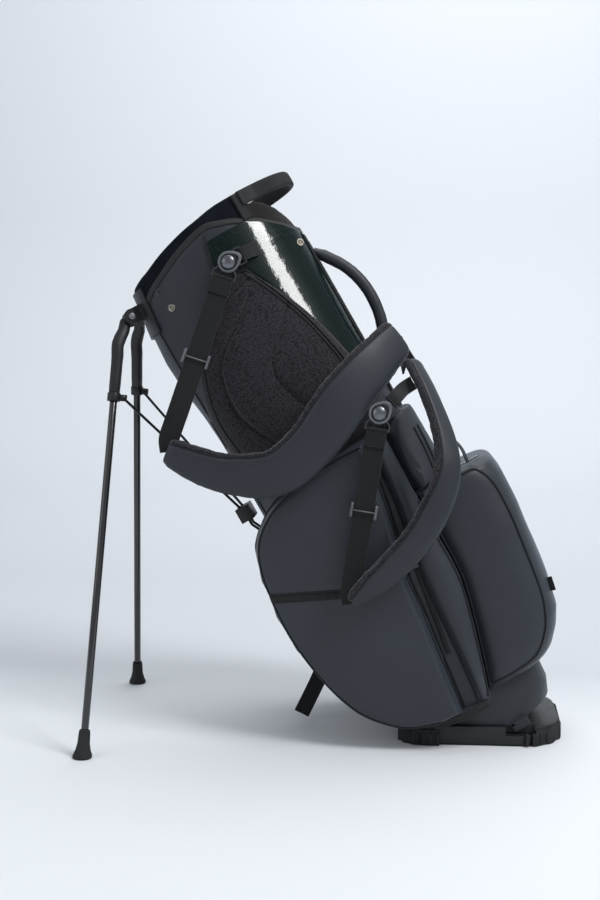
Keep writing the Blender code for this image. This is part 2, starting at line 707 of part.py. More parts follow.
def dome(t, power=5.0):
    """0 at both ends of 0 to 1 and nearly flat between, for a filled pocket's rounded edge."""
    return (1 - abs(2 * t - 1) ** power) ** (1 / 2.2)


def conforming_panel(name, rows, inner, outer, columns, look, bag, side=-1):
    """A panel that lies on the body: rows are (w, u at its leg side, u at its spine side)."""
    faces = {inner: [], outer: []}
    for w, leg_u, spine_u in rows:
        angles = spread(angle_at(leg_u, w, side), angle_at(spine_u, w, side), columns)
        for offset, grid in faces.items():
            grid.append([skin(angle, w, offset) for angle in angles])
    slab(name, faces[outer], faces[inner], look, bag)


def hip_pad(bag):
    """Spacer-mesh pad below the double piping, against the player's back when the bag is carried."""
    rows = [(0.500, -0.075, 0.080), (0.540, -0.100, 0.098), (0.580, -0.108, 0.101), (0.620, -0.109, 0.096)]
    rows += [(0.665, -0.100, 0.087), (0.715, -0.076, 0.073), (0.760, -0.034, 0.055), (0.795, 0.004, 0.036)]
    conforming_panel("hip_pad", rows, 0.0034, 0.0110, 9, "air_mesh", bag)


def carbon_panel(bag):
    """Glossy film panel between the collar, the spine and the hip pad."""
    rows = [(0.605, 0.103, 0.131), (0.640, 0.097, 0.131), (0.680, 0.0885, 0.131), (0.725, 0.074, 0.131)]
    rows += [(0.770, 0.056, 0.1305), (0.806, 0.037, 0.130), (0.822, 0.005, 0.122), (0.845, 0.008, 0.098)]
    rows += [(0.862, 0.0120, 0.0700)]
    conforming_panel("carbon_panel", rows, 0.0026, 0.0042, 8, "carbon_film", bag)


def garment_pocket(name, side, bag):
    """The long side pocket: (w, u at the leg side, u at the gusset side) up the bag."""
    rows = [(0.064, -0.045, -0.012), (0.078, -0.084, -0.006), (0.100, -0.116, 0.000), (0.141, -0.147, 0.008)]
    rows += [(0.200, -0.166, 0.017), (0.270, -0.177, 0.026), (0.330, -0.178, 0.042), (0.389, -0.168, 0.066)]
    rows += [(0.430, -0.152, 0.078), (0.458, -0.122, 0.083), (0.476, -0.060, 0.080), (0.486, 0.000, 0.066)]
    heights = (rows[0][0], rows[-1][0])
    outer, inner = [], []
    for w, leg_u, gusset_u in rows:
        up = (w - heights[0]) / (heights[1] - heights[0])
        out_row, in_row = [], []
        for t in spread(0, 1, 9):
            u = leg_u + (gusset_u - leg_u) * t
            base = skin_v(u, w) + 0.0064
            base = max(base, POCKET_CHANNEL, OVER_CUP if w < CUP_TOP + 0.001 else 0)
            full = 0.160 - 0.010 * (1 - t)
            bulge = 0.004 + (full - base - 0.004) * min(dome(0.02 + 0.96 * t), dome(0.015 + 0.97 * up))
            out_row.append(Vector((u, side * (base + max(bulge, 0.004)), w)))
            in_row.append(Vector((u, side * base, w)))
        outer.append(out_row)
        inner.append(in_row)
    slab(name, outer, inner, "leatherette", bag)


def side_gusset(bag):
    """The rounded channel between the garment pocket and the ball pocket, on the near side."""
    rows = [(0.070, 0.016, 0.037), (0.090, 0.019, 0.043), (CUP_TOP + 0.0004, 0.024, 0.052)]
    rows += [(0.120, 0.026, 0.055)]
    rows += [(0.150, 0.031, 0.064), (0.215, 0.042, 0.079), (0.290, 0.054, 0.083), (0.340, 0.070, 0.092)]
    outer, inner = [], []
    for w, left, right in rows:
        out_row, in_row = [], []
        for t in spread(0, 1, 6):
            u = left + (right - left) * t
            base = max(skin_v(u, w) + 0.0026, OVER_CUP if w < CUP_TOP + 0.001 else 0)
            out_row.append(Vector((u, -base - 0.006 - 0.020 * dome(0.06 + 0.88 * t, 2.4), w)))
            in_row.append(Vector((u, -base, w)))
        outer.append(out_row)
        inner.append(in_row)
    slab("side_gusset", outer, inner, "leatherette", bag)


def ball_pocket(bag):
    """The big pocket round the spine side: (w, how far out it reaches at the spine)."""
    rows = [(0.068, 0.143), (0.080, 0.163), (0.098, 0.181), (CUP_TOP + 0.0004, 0.190), (0.122, 0.196)]
    rows += [(0.165, 0.204), (0.225, 0.213), (0.290, 0.220), (0.345, 0.223), (0.368, 0.219), (0.380, 0.212)]
    outer, inner = [], []
    for w, reach in rows:
        seam = [(0.08, 0.044), (0.136, 0.063), (0.174, 0.074), (0.227, 0.085), (0.268, 0.088), (0.39, 0.108)]
        edge = angle_at(between(seam, w), w, 1)
        out_row, in_row = [], []
        for t in spread(-1, 1, 15):
            angle = t * edge
            base = over_body(angle, w)
            wide = body_half(w).y + 0.022
            u, v = superellipse(reach, wide, angle, 3.0)
            fill = dome((0.03 + 0.97 * (1 + t) / 2) if t < 0 else (0.97 * (1 + t) / 2), 8)
            full = Vector((u, v, w))
            out_row.append(base.lerp(full, max(0.22, min(1, fill))))
            in_row.append(base)
        outer.append(out_row)
        inner.append(in_row)
    slab("ball_pocket", outer, inner, "leatherette", bag)


def accessory_pocket(bag):
    """The slim upper pocket behind the strap, between the hip pad and the ball pocket."""
    rows = [(0.406, 0.089, 0.1270), (0.430, 0.087, 0.1275), (0.465, 0.089, 0.1285), (0.488, 0.098, 0.1285)]
    rows += [(0.500, 0.108, 0.127)]
    conforming_panel("accessory_pocket", rows, 0.0026, 0.0250, 6, "leatherette", bag)


def spine_parts(bag):
    """The strip down the spine and the rolled grab handle sewn to it."""
    heights = (0.400, 0.50, 0.65, 0.797)
    angles = [math.radians(degrees) for degrees in (-13, -6, 0, 6, 13)]
    outer = [[skin(angle, w, 0.0046) for angle in angles] for w in heights]
    inner = [[skin(angle, w, 0.0026) for angle in angles] for w in heights]
    slab("spine_strip", outer, inner, "webbing", bag)
    start = TOP_HALF.x + 0.0052
    route = [(start, 0, 0.780), (0.1520, 0, 0.760), (0.1680, 0, 0.735), (0.1785, 0, 0.705)]
    route += [(0.1815, 0, 0.672), (0.1760, 0, 0.634), (0.1600, 0, 0.603), (start, 0, 0.592)]
    path = smooth(route, 19)
    faces_to = [Vector((1, 0, 0.01))] * len(path)
    sizes = [(0.0092, 0.0092)] * len(path)
    handle = sweep("spine_handle", path, faces_to, sizes, "leatherette", bag, sides=10, power=2.0)
    behind = span("behind", (0.10, -0.05, 0.55), (TOP_HALF.x + 0.0049, 0.05, 0.80), "leatherette", bag)
    combine(handle, cuts=[behind])


# ---- shoulder strap -----------------------------------------------------------------------


def shoulder_pads(bag):
    """Both pads hang on the near side. Each route is read off the pad's middle line."""
    upper = [(-0.186, -0.182, 0.624), (-0.155, -0.188, 0.583), (-0.120, -0.188, 0.549)]
    upper += [(-0.062, -0.188, 0.519)]
    upper += [(0.004, -0.188, 0.528), (0.076, -0.182, 0.560), (0.138, -0.158, 0.583), (0.190, -0.114, 0.600)]
    path = smooth(upper, 21)
    out = [Vector((0, -1, -0.12))] * 14 + [Vector((0.35 + 0.1 * i, -1, -0.1)) for i in range(7)]
    widths = [0.021, 0.024, 0.027, 0.029, 0.031, 0.033, 0.035, 0.036, 0.037, 0.038, 0.038]
    widths += [0.039, 0.040, 0.040, 0.039, 0.038, 0.036, 0.034, 0.033, 0.031, 0.029]
    sweep("shoulder_pad_upper", path, out, [(width, 0.0075) for width in widths], "leatherette", bag)
    lower = [(0.188, -0.122, 0.560), (0.186, -0.150, 0.505), (0.174, -0.182, 0.436), (0.149, -0.200, 0.390)]
    lower += [(0.087, -0.208, 0.344), (0.020, -0.206, 0.318), (-0.058, -0.198, 0.300)]
    path = smooth(lower, 21)
    out = [Vector((1.9 - 0.16 * i, -1, -0.3)) for i in range(11)]
    out += [Vector((0.2 - 0.03 * i, -1, -0.3)) for i in range(10)]
    widths = [0.019, 0.020, 0.020, 0.020, 0.020, 0.020, 0.021, 0.021, 0.022, 0.023, 0.024]
    widths += [0.025, 0.025, 0.025, 0.025, 0.025, 0.024, 0.022, 0.020, 0.017, 0.012]
    sweep("shoulder_pad_lower", path, out, [(width, 0.0070) for width in widths], "leatherette", bag)


def strap_junction(bag):
    """The webbing yoke where both pads meet, behind the spine."""
    route = [(0.170, -0.020, 0.560), (0.185, -0.045, 0.574), (0.191, -0.070, 0.578), (0.190, -0.088, 0.576)]
    path = smooth(route, 7)
    sizes = [(0.020, 0.0022)] * 7
    sweep("strap_junction", path, [Vector((1, -0.4, 0))] * 7, sizes, "webbing", bag, sides=8)


def web_run(name):
    """The ends of a strap's straight run of webbing, from its connector's lower bar."""
    place, end = CONNECTORS[name], WEB_ENDS[name]
    return place + (end - place).normalized() * STIRRUP, end


def looped_web(name, path, width, bag):
    """Flat webbing that ends in a sewn loop round the stirrup bar at the path's first point."""
    faces_to = [Vector((0, -1, 0))] * len(path)
    sizes = [(width / 2, WEB_THICK / 2)] * len(path)
    along = (path[1] - path[0]).normalized()
    strip = [path[0] + along * (STIRRUP_BAR + 0.0012), *path[1:]]
    web = sweep(name, strip, faces_to, sizes, "webbing", bag, sides=8, power=8)
    out, wide = across(along, faces_to[0])
    ends = path[0] - wide * width / 2, path[0] + wide * width / 2
    loop = rod("loop", *ends, STIRRUP_BAR + 0.0021, "webbing", bag)
    bore = rod("bore", ends[0] - wide * 0.01, ends[1] + wide * 0.01, STIRRUP_BAR + 0.0005, "webbing", bag)
    combine(web, unions=[loop], cuts=[bore])


def strap_webbing(bag):
    start, end = web_run("upper")
    route = [start, start.lerp(end, 0.5), end, Vector((-0.160, -0.1722, 0.6510))]
    route += [Vector((-0.1750, -0.1728, 0.6370)), Vector((-0.1830, -0.1728, 0.6200))]
    looped_web("webbing_upper", route, WEB_WIDTHS["upper"], bag)
    start, end = web_run("lower")
    looped_web("webbing_lower", [start, end], WEB_WIDTHS["lower"], bag)
    tabs = {
        "upper": [(0.0620, -0.1270, 0.8180), (0.0740, -0.1130, 0.8170)],
        "lower": [(0.1465, -0.1740, 0.5273), (0.1555, -0.1520, 0.5300), (0.1590, -0.1250, 0.5340)],
    }
    for name, route in tabs.items():
        path = [tab_bar(name), *(Vector(point) for point in route)]
        looped_web(f"strap_tab_{name}", path, 0.021, bag)


def tab_bar(name):
    return CONNECTORS[name] + TAB_TOWARDS[name].normalized() * TAB_STIRRUP


def adjuster(name, run, place, width, look, parent):
    """A tri-glide: a frame that the webbing runs straight through, with two windows over it."""
    start, end = run
    centre = start.lerp(end, place)
    along = (end - start).normalized()
    out, wide = across(along, Vector((0, -1, 0)))
    axes = (wide, along, out)
    frame = block(name, centre, axes, (width / 2 + 0.0042, 0.0125, 0.0036), look, parent, centre)
    through = block("through", centre, axes, (width / 2 + 0.0010, 0.03, 0.0017), look, parent, centre)
    cuts = [through]
    for shift in (-0.0055, 0.0055):
        window = centre + along * shift + out * 0.005
        cuts.append(block("window", window, axes, (width / 2 + 0.0010, 0.0032, 0.0050), look, parent, centre))
    combine(frame, cuts=cuts)


def stirrup(place, towards, out, inner_half, reach, bag):
    """The three bars of a D-ring: two sides and the round bar that the webbing loops round."""
    sideways = out.cross(towards)
    bars = []
    for side in (-1, 1):
        root = place + sideways * side * 0.0100 + towards * 0.0080
        corner = place + sideways * side * (inner_half + 0.0012) + towards * 0.0160
        end = place + sideways * side * (inner_half + 0.0012) + towards * (reach + 0.0010)
        bars.append(rod("side", root, corner + towards * 0.0004, 0.0013, "grey_metal", bag, count=8))
        bars.append(rod("side", corner, end, 0.0012, "grey_metal", bag, count=8))
    ends = [place + towards * reach + sideways * side * (inner_half + 0.0016) for side in (-1, 1)]
    bars.append(rod("bar", *ends, STIRRUP_BAR, "grey_metal", bag, count=10))
    return bars


def connector(name, bag, swivel):
    """A round plate with two stirrups, for the webbing and its tab, and a swivelling dome on its post."""
    place = CONNECTORS[name]
    out = Vector((0, -1, 0))
    web_towards = (web_run(name)[1] - place).normalized()
    tab_towards = (tab_bar(name) - place).normalized()
    profile = [(-0.0020, 0.0140), (-0.0012, 0.0148), (0.0012, 0.0148), (0.0020, 0.0138)]
    up = Vector((0, 0, 1))
    plate = turned(f"strap_connector_{name}", place, out, profile, "grey_metal", bag, count=20, hint=up)
    bars = stirrup(place, web_towards, out, WEB_WIDTHS[name] / 2 + 0.0008, STIRRUP, bag)
    bars += stirrup(place, tab_towards, out, 0.0113, TAB_STIRRUP, bag)
    combine(plate, unions=bars)
    profile = [(0.0023, 0.0112), (0.0040, 0.0112), (0.0066, 0.0098), (0.0086, 0.0070), (0.0094, 0.0035)]
    turned(f"connector_dome_{name}", place, out, profile, "grey_metal", swivel, place, count=20, hint=up)


# ---- small fittings -----------------------------------------------------------------------


def rivet(name, u, w, bag):
    base = skin(angle_at(u, w, -1), w, 0.0045)
    middle = Vector((base.x * 0.92, base.y * 0.92, base.z))
    out = Vector((base.x - middle.x, base.y - middle.y, 0)).normalized()
    profile = [(0.0004, 0.0058), (0.0018, 0.0056), (0.0026, 0.0042), (0.0016, 0.0020)]
    turned(name, base, out, profile, "silver_metal", bag, count=14, hint=Vector((0, 0, 1)))


def zip_fastener(chain_name, slider_name, start, end, out, bag, body):
    """A straight chain of teeth and the slider that straddles it, parked at its start."""
    along = (end - start).normalized()
    out, wide = across(along, out)
    axes = (wide, along, out)
    middle = (start + end) / 2
    half = (end - start).length / 2
    block(chain_name, middle, axes, (0.0032, half, 0.0008), "silver_metal", bag)
    place = start + along * 0.006 + out * 0.0010
    slider = block(slider_name, place, axes, (0.0048, 0.0050, 0.0026), "silver_metal", body, place)
    look = "silver_metal"
    channel = block("channel", place - out * 0.0026, axes, (0.0037, 0.01, 0.0030), look, body, place)
    tag = place - along * 0.0085 + out * 0.0021
    pull = block("pull", tag, axes, (0.0028, 0.0085, 0.0006), look, body, place)
    combine(slider, unions=[pull], cuts=[channel])


def towel_loop(bag):
    route = [(0.156, -0.072, 0.3815), (0.157, -0.073, 0.407), (0.166, -0.074, 0.429), (0.180, -0.075, 0.427)]
    route += [(0.1870, -0.075, 0.407), (0.1850, -0.075, 0.3815)]
    path = smooth(route, 11)
    sizes = [(0.0050, 0.0012)] * 11
    sweep("towel_loop", path, [Vector((0.6, -0.2, 0.8))] * 11, sizes, "leatherette", bag, sides=6)


def leg_lock_strap(bag):
    """The free webbing tail that wraps round the folded legs, held between the push rod's wires."""
    route = [(-0.1215, 0, 0.236), (-0.1580, 0, 0.216), (-0.1925, 0, 0.188), (-0.2465, 0, 0.1505)]
    path = smooth(route, 9)
    sizes = [(0.0125, 0.0011)] * 9
    sweep("leg_lock_strap", path, [Vector((0, -1, 0))] * 9, sizes, "webbing", bag, sides=8, power=8)


# ---- assembly -----------------------------------------------------------------------------


def world_in_bag(point):
    """A world point in the bag's frame."""
    turned_back = Matrix.Rotation(-LEAN, 3, "Y").inverted() @ (point - HINGE)
    return turned_back + Vector((HINGE_U, 0, 0))


def bag_in_world(point):
    return HINGE + Matrix.Rotation(-LEAN, 3, "Y") @ (point - Vector((HINGE_U, 0, 0)))


def build():
    clear_scene()
    bag = empty("bag_frame", None, bag_in_world(Vector()), (0, -LEAN, 0))
    plate = empty("foot_plate_hinge", None, HINGE)
    legs = {side: Leg(sign) for side, sign in SIDES.items()}
    tube_shell(bag)
    top_collar(bag)
    lift_handle(bag)
    top_divider(bag)
    stays(bag)
    base_cup(bag)
    foot_plate(plate)
    foot_sole(plate)
    stand_bracket(bag, legs.values())
    for side, leg in legs.items():
        hinge = empty(f"leg_{side}_hinge", bag, leg.pivot)
        leg_pin(f"leg_pin_{side}", leg, bag)
        leg_head(f"leg_head_{side}", leg, hinge)
        leg_tube(f"leg_tube_{side}", leg, hinge)
        leg_foot(f"leg_foot_{side}", leg, hinge)
        leg_collar(f"leg_collar_{side}", leg, hinge)
        arm_hinge = empty(f"rod_arm_{side}_hinge", hinge, leg.ear - leg.pivot)
        rod_arm(f"rod_arm_{side}", leg, arm_hinge)
    slider = empty("push_rod_slide", bag, Vector())
    push_rod(slider, legs.values())
    rod_guides(bag)
    hip_pad(bag)
    carbon_panel(bag)
    for side, sign in SIDES.items():
        garment_pocket(f"garment_pocket_{side}", sign, bag)
    side_gusset(bag)
    ball_pocket(bag)
    accessory_pocket(bag)
    spine_parts(bag)
    shoulder_pads(bag)
    strap_junction(bag)
    strap_webbing(bag)
    for name, width in WEB_WIDTHS.items():
        run = web_run(name)
        holder = empty(f"adjuster_{name}_slide", bag, run[0].lerp(run[1], ADJUSTER_AT[name]))
        adjuster(f"adjuster_{name}", run, ADJUSTER_AT[name], width, "grey_metal", holder)
        connector(name, bag, empty(f"dome_{name}_swivel", bag, CONNECTORS[name]))
    rivet("rivet_leg_side", -0.083, 0.806, bag)
    rivet("rivet_spine_side", 0.124, 0.797, bag)
    towel_loop(bag)
    leg_lock_strap(bag)
    zips = (
        ("garment_zip", Vector((0.044, -0.134, 0.300)), Vector((0.020, -0.129, 0.150)), Vector((0, -1, 0))),
        ("ball_zip", Vector((0.150, -0.060, 0.3825)), Vector((0.204, -0.060, 0.3825)), Vector((0, 0, 1))),
    )
    for name, start, end, out in zips:
        along = (end - start).normalized()
        holder = empty(f"{name}_slide", bag, start + along * 0.006 + across(along, out)[0] * 0.0010)
        zip_fastener(f"{name}_chain", f"{name}_slider", start, end, out, bag, holder)


build()
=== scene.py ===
"""The golf stand bag's looks: covers, padding, trims, materials, light and camera.

Metres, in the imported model's frame. The bag leans back, so its shapes are drawn in its own frame:
u runs from the legs to the spine, v is world Y (near is negative) and w runs up the bag's axis.
"""

import json
import math

import bmesh
import bpy
import numpy as np
from mathutils import Matrix, Vector, noise
from mathutils.bvhtree import BVHTree
from mathutils.kdtree import KDTree


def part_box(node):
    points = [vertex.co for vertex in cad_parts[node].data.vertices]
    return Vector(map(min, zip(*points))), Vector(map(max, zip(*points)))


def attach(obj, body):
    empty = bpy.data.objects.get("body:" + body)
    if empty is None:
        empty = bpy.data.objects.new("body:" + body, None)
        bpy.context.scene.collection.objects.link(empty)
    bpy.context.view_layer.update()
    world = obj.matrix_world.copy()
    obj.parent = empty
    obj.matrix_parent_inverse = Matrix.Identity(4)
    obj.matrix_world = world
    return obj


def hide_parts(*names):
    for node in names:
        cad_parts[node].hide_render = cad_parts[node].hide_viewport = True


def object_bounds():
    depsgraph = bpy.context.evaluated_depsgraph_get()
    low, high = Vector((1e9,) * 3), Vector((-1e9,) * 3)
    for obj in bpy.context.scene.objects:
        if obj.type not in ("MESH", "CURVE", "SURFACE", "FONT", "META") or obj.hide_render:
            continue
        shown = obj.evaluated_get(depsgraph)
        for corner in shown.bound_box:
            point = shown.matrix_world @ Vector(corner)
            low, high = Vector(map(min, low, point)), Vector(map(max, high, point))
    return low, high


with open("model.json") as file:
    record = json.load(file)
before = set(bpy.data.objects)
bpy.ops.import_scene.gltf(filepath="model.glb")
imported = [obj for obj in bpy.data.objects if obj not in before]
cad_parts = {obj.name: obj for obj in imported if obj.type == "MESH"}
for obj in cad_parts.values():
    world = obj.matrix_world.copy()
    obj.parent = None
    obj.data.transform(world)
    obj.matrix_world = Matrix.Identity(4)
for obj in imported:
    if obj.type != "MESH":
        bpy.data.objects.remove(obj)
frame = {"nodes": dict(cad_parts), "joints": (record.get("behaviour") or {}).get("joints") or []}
cad_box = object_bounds()

# ---- driving dimensions -------------------------------------------------------------------

JOINTS = {joint["name"]: joint for joint in frame["joints"]}
UP = -Vector(JOINTS["push_rod_slide"]["axis"])  # the bag's axis in the world
LEAN = math.atan2(-UP.x, UP.z)
HINGE = Vector(JOINTS["foot_plate_hinge"]["pos_m"])
HINGE_U = 0.048  # the foot plate's hinge in the bag's frame, at w = 0
BAG = Matrix.Translation(HINGE) @ Matrix.Rotation(-LEAN, 4, "Y") @ Matrix.Translation((-HINGE_U, 0, 0))
TO_BAG = BAG.inverted()
SIDES = {"near": -1, "far": 1}
NEAR = Vector((0, -1, 0))

OVAL = 2.3  # superellipse exponent of the body's cross-section
COVER = 0.0022  # how far the cover stands off the CAD shell
CUFF = 0.001  # how far the cuff stands off it
PIPING = 0.0017  # radius of the sewn-in piping
LIE = 0.0008  # how high a piping's middle lies above the surface
THREAD = 0.00032  # radius of the sewing thread
STITCH = 0.0036  # from one stitch to the next
COATED = "leatherette"  # the slot of the coated fabric

# ---- the bag's own surface ----------------------------------------------------------------


def node_points(node):
    """A CAD node's points in the bag's frame, one row each."""
    return np.array([TO_BAG @ vertex.co for vertex in frame["nodes"][node].data.vertices])


def middle_of(node):
    points = node_points(node)
    return Vector((points.max(axis=0) + points.min(axis=0)) / 2)


def rows_of(node):
    """(w, lowest u, highest u) of each level row of a CAD panel's points."""
    found = {}
    for u, _, w in node_points(node):
        level = round(w, 4)
        low, high = found.get(level, (u, u))
        found[level] = (min(low, u), max(high, u))
    return [Vector((w, *found[w])) for w in sorted(found)]


def section_rows():
    """(w, reach to the spine, reach to the legs, half depth) up the body, from its CAD shell."""
    points = node_points("tube_shell")
    rows = []
    spine = 0.0
    for w in sorted(set(points[:, 2].round(4))):
        ring = points[points[:, 2].round(4) == w]
        spine = max(spine, ring[:, 0].max())
        rows.append((w, spine, -ring[:, 0].min(), ring[:, 1].max()))
    rows.append((0.885, spine, spine, rows[-1][3]))
    return np.array(rows)


SECTIONS = section_rows()
SHELL_TOP = node_points("tube_shell")[:, 2].max()
CUP_TOP = node_points("base_cup")[:, 2].max()


def superellipse(half_u, half_v, angle, power=OVAL):
    """A point of an oval whose sides are flatter the higher the power is."""
    c, s = math.cos(angle), math.sin(angle)
    u = half_u * math.copysign(abs(c) ** (2 / power), c)
    return u, half_v * math.copysign(abs(s) ** (2 / power), s)


def reach(w, leg_side):
    """The body's half width towards one side, and its half depth, at a height."""
    column = 2 if leg_side else 1
    return np.interp(w, SECTIONS[:, 0], SECTIONS[:, column]), np.interp(w, SECTIONS[:, 0], SECTIONS[:, 3])


def skin(angle, w, offset=0.0):
    """A point on the body, pushed out by the offset. Angle 0 is the spine, and near is negative."""
    half_u, half_v = reach(w, math.cos(angle) < 0)
    return Vector((*superellipse(half_u + offset, half_v + offset, angle), w))


def angle_at(u, w, side=-1):
    ratio = max(-1, min(1, u / reach(w, u < 0)[0]))
    return side * math.acos(math.copysign(abs(ratio) ** (OVAL / 2), ratio))


def full_turn(count):
    return [2 * math.pi * k / count for k in range(count)]


def spread(first, last, count):
    return [first + (last - first) * i / (count - 1) for i in range(count)]


def smooth(points, count):
    """Points on a Catmull-Rom curve through the given ones, evenly far apart."""
    points = [Vector(point) for point in points]
    ends = [2 * points[0] - points[1], *points, 2 * points[-1] - points[-2]]
    fine = []
    for k in range(len(points) - 1):
        a, b, c, d = ends[k : k + 4]
        for t in spread(0, 1, 17)[: 17 if k == len(points) - 2 else 16]:
            bend = (2 * a - 5 * b + 4 * c - d) * t * t + (3 * b - a - 3 * c + d) * t**3
            fine.append((2 * b + (c - a) * t + bend) / 2)
    steps = [(b - a).length for a, b in zip(fine, fine[1:])]
    along = np.concatenate([[0], np.cumsum(steps)])
    wanted = np.linspace(0, along[-1], count)
    columns = [np.interp(wanted, along, [point[i] for point in fine]) for i in range(len(points[0]))]
    return [Vector(values) for values in zip(*columns)]


class Skin:
    """The outside of some finished pieces, in the bag's frame, to lay trims on."""

    def __init__(self, *objects):
        points, faces = [], []
        graph = bpy.context.evaluated_depsgraph_get()
        for obj in objects:
            mesh = obj.evaluated_get(graph).to_mesh()
            start = len(points)
            points += [TO_BAG @ obj.matrix_world @ vertex.co for vertex in mesh.vertices]
            faces += [[start + i for i in polygon.vertices] for polygon in mesh.polygons]
        self.tree = BVHTree.FromPolygons(points, faces)

    def onto(self, point, towards, lift):
        """Where a ray through the point first meets the surface, or the surface's nearest point."""
        point, towards = Vector(point), Vector(towards).normalized()
        hit, normal, _, _ = self.tree.ray_cast(point - towards * 0.5, towards)
        if hit is None:
            hit, normal, _, _ = self.tree.find_nearest(point)
        if normal.dot(towards) > 0:
            normal = -normal
        return hit + normal * lift, normal

    def trace(self, outline, count, lift, side=-1, guess=0.13):
        """A smooth line drawn as (u, w) and laid on the surface from the near or the far side."""
        line = smooth([(u, side * guess, w) for u, w in outline], count)
        found = [self.onto(point, (0, -side, 0), lift) for point in line]
        return [point for point, _ in found], [normal for _, normal in found]


# ---- pieces -------------------------------------------------------------------------------


def piece(name, points, faces, looks, body="bag", replaces=(), slot=None):
    """A mesh object from points in the bag's frame, riding on a CAD body."""
    mesh = bpy.data.meshes.new(name)
    mesh.from_pydata([BAG @ Vector(point) for point in points], [], faces)
    work = bmesh.new()
    work.from_mesh(mesh)
    bmesh.ops.recalc_face_normals(work, faces=work.faces)
    work.to_mesh(mesh)
    work.free()
    for look in [looks] if isinstance(looks, str) else looks:
        mesh.materials.append(LOOKS[look])
    mesh.shade_smooth()
    made = bpy.data.objects.new(name, mesh)
    bpy.context.scene.collection.objects.link(made)
    return settle(made, body, replaces, slot)


def settle(made, body="bag", replaces=(), slot=None):
    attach(made, body)
    if replaces:
        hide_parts(*replaces)
    return made


class Build:
    """Collects lofts and tubes into one mesh, with a length-wise texture map in metres."""

    def __init__(self):
        self.points, self.faces, self.maps = [], [], []

    def loft(self, rings, closed=False, caps=True):
        """Rings of equal length joined in order. Closed joins the last to the first."""
        start, count = len(self.points), len(rings[0])
        self.points += [point for ring in rings for point in ring]
        around = [0.0]
        for a, b in zip(rings[0], rings[0][1:] + rings[0][:1]):
            around.append(around[-1] + (Vector(b) - Vector(a)).length)
        along = 0.0
        for row in range(len(rings) if closed else len(rings) - 1):
            after = (row + 1) % len(rings)
            step = (Vector(rings[after][0]) - Vector(rings[row][0])).length
            for i in range(count):
                j = (i + 1) % count
                low, high = start + row * count, start + after * count
                self.faces.append((low + i, low + j, high + j, high + i))
                corners = ((i, 0), (i + 1, 0), (i + 1, step), (i, step))
                self.maps.append([(around[k], along + extra) for k, extra in corners])
            along += step
        if caps and not closed:
            for first in (start, start + (len(rings) - 1) * count):
                self.faces.append(tuple(range(first, first + count)))
                self.maps.append([(0.0, 0.0)] * count)

    def tube(self, path, radius, sides=8, closed=False):
        rings = []
        for i, point in enumerate(path):
            first, second = across(heading(path, i, closed), Vector((0.31, 1, 0.17)))
            end = 0.55 if not closed and i in (0, len(path) - 1) else 1
            rings.append([point + radius * end * way for way in turned(first, second, sides)])
        self.loft(rings, closed)

    def stitches(self, path, normals, pitch=STITCH):
        """Short raised threads along a line, with a gap between them."""
        count = max(int(length_of(path) / pitch), 2)
        line = smooth(path, 2 * count)
        for i in range(0, 2 * count - 1, 2):
            normal = normals[min(int(i / (2 * count) * len(normals)), len(normals) - 1)]
            start, end = line[i], line[i + 1].lerp(line[i], 0.15)
            middle = (start + end) / 2 + normal * THREAD * 0.8
            self.tube([start - normal * THREAD, middle, end - normal * THREAD], THREAD, 5)

    def pipe(self, surface, outline, count, radius, lift=LIE, **ray):
        """Piping along a (u, w) outline on a surface."""
        self.tube(surface.trace(outline, count, lift, **ray)[0], radius)

    def sew(self, surface, outline, count, **ray):
        """Stitches along a (u, w) outline on a surface."""
        self.stitches(*surface.trace(outline, count, 0.0003, **ray))

    def make(self, name, look, body="bag", replaces=(), slot=None):
        made = piece(name, self.points, self.faces, look, body, replaces, slot)
        layer = made.data.uv_layers.new(name="lengthwise")
        by_corners = {frozenset(face): dict(zip(face, spots)) for face, spots in zip(self.faces, self.maps)}
        for polygon in made.data.polygons:
            spots = by_corners[frozenset(polygon.vertices)]
            for loop in polygon.loop_indices:
                layer.data[loop].uv = spots[made.data.loops[loop].vertex_index]
        return made


def length_of(path):
    return sum((b - a).length for a, b in zip(path, path[1:]))


def heading(path, i, closed=False):
    """A path's direction at its point i."""
    if closed:
        return (path[(i + 1) % len(path)] - path[i - 1]).normalized()
    return (path[min(i + 1, len(path) - 1)] - path[max(i - 1, 0)]).normalized()


def turned(first, second, count):
    """Unit vectors all round, in the plane of two of them."""
    return [math.cos(t) * first + math.sin(t) * second for t in full_turn(count)]


def lathe(foot, axis, first, second, section, count=48):
    """Rings about an axis, from a section of (radius, lift)."""
    ways = turned(first, second, count)
    return [[foot + axis * lift + way * radius for way in ways] for radius, lift in section]


def across(axis, hint):
    """Two unit vectors square to the axis, the first one nearest to the hint."""
    first = (hint - axis * hint.dot(axis)).normalized()
    return first, axis.cross(first)


def swept(path, faces_to, profiles):
    """Rings of (across, outward) offsets along a path. One facing or profile serves all of its points."""
    if isinstance(faces_to, Vector):
        faces_to = [faces_to] * len(path)
    if isinstance(profiles[0], tuple):
        profiles = [profiles] * len(path)
    rings = []
    for i, point in enumerate(path):
        out, wide = across(heading(path, i), faces_to[i])
        rings.append([point + wide * x + out * y for x, y in profiles[i]])
    return rings


def lofted(name, rings, look, closed=False, **settled):
    build = Build()
    build.loft(rings, closed)
    return build.make(name, look, **settled)


def strap_profile(width, thick):
    """Flat webbing with rounded, slightly fuller selvedges."""
    half, edge = width / 2, width / 2 - 0.0014
    top = [(half - 0.0004, thick * 0.42), (edge, thick * 0.56), (edge - 0.0012, thick * 0.44)]
    top = [(-half, 0.0)] + [(-x, y) for x, y in top] + top[::-1]
    return top + [(half, 0.0)] + [(x, -y) for x, y in reversed(top[1:])]


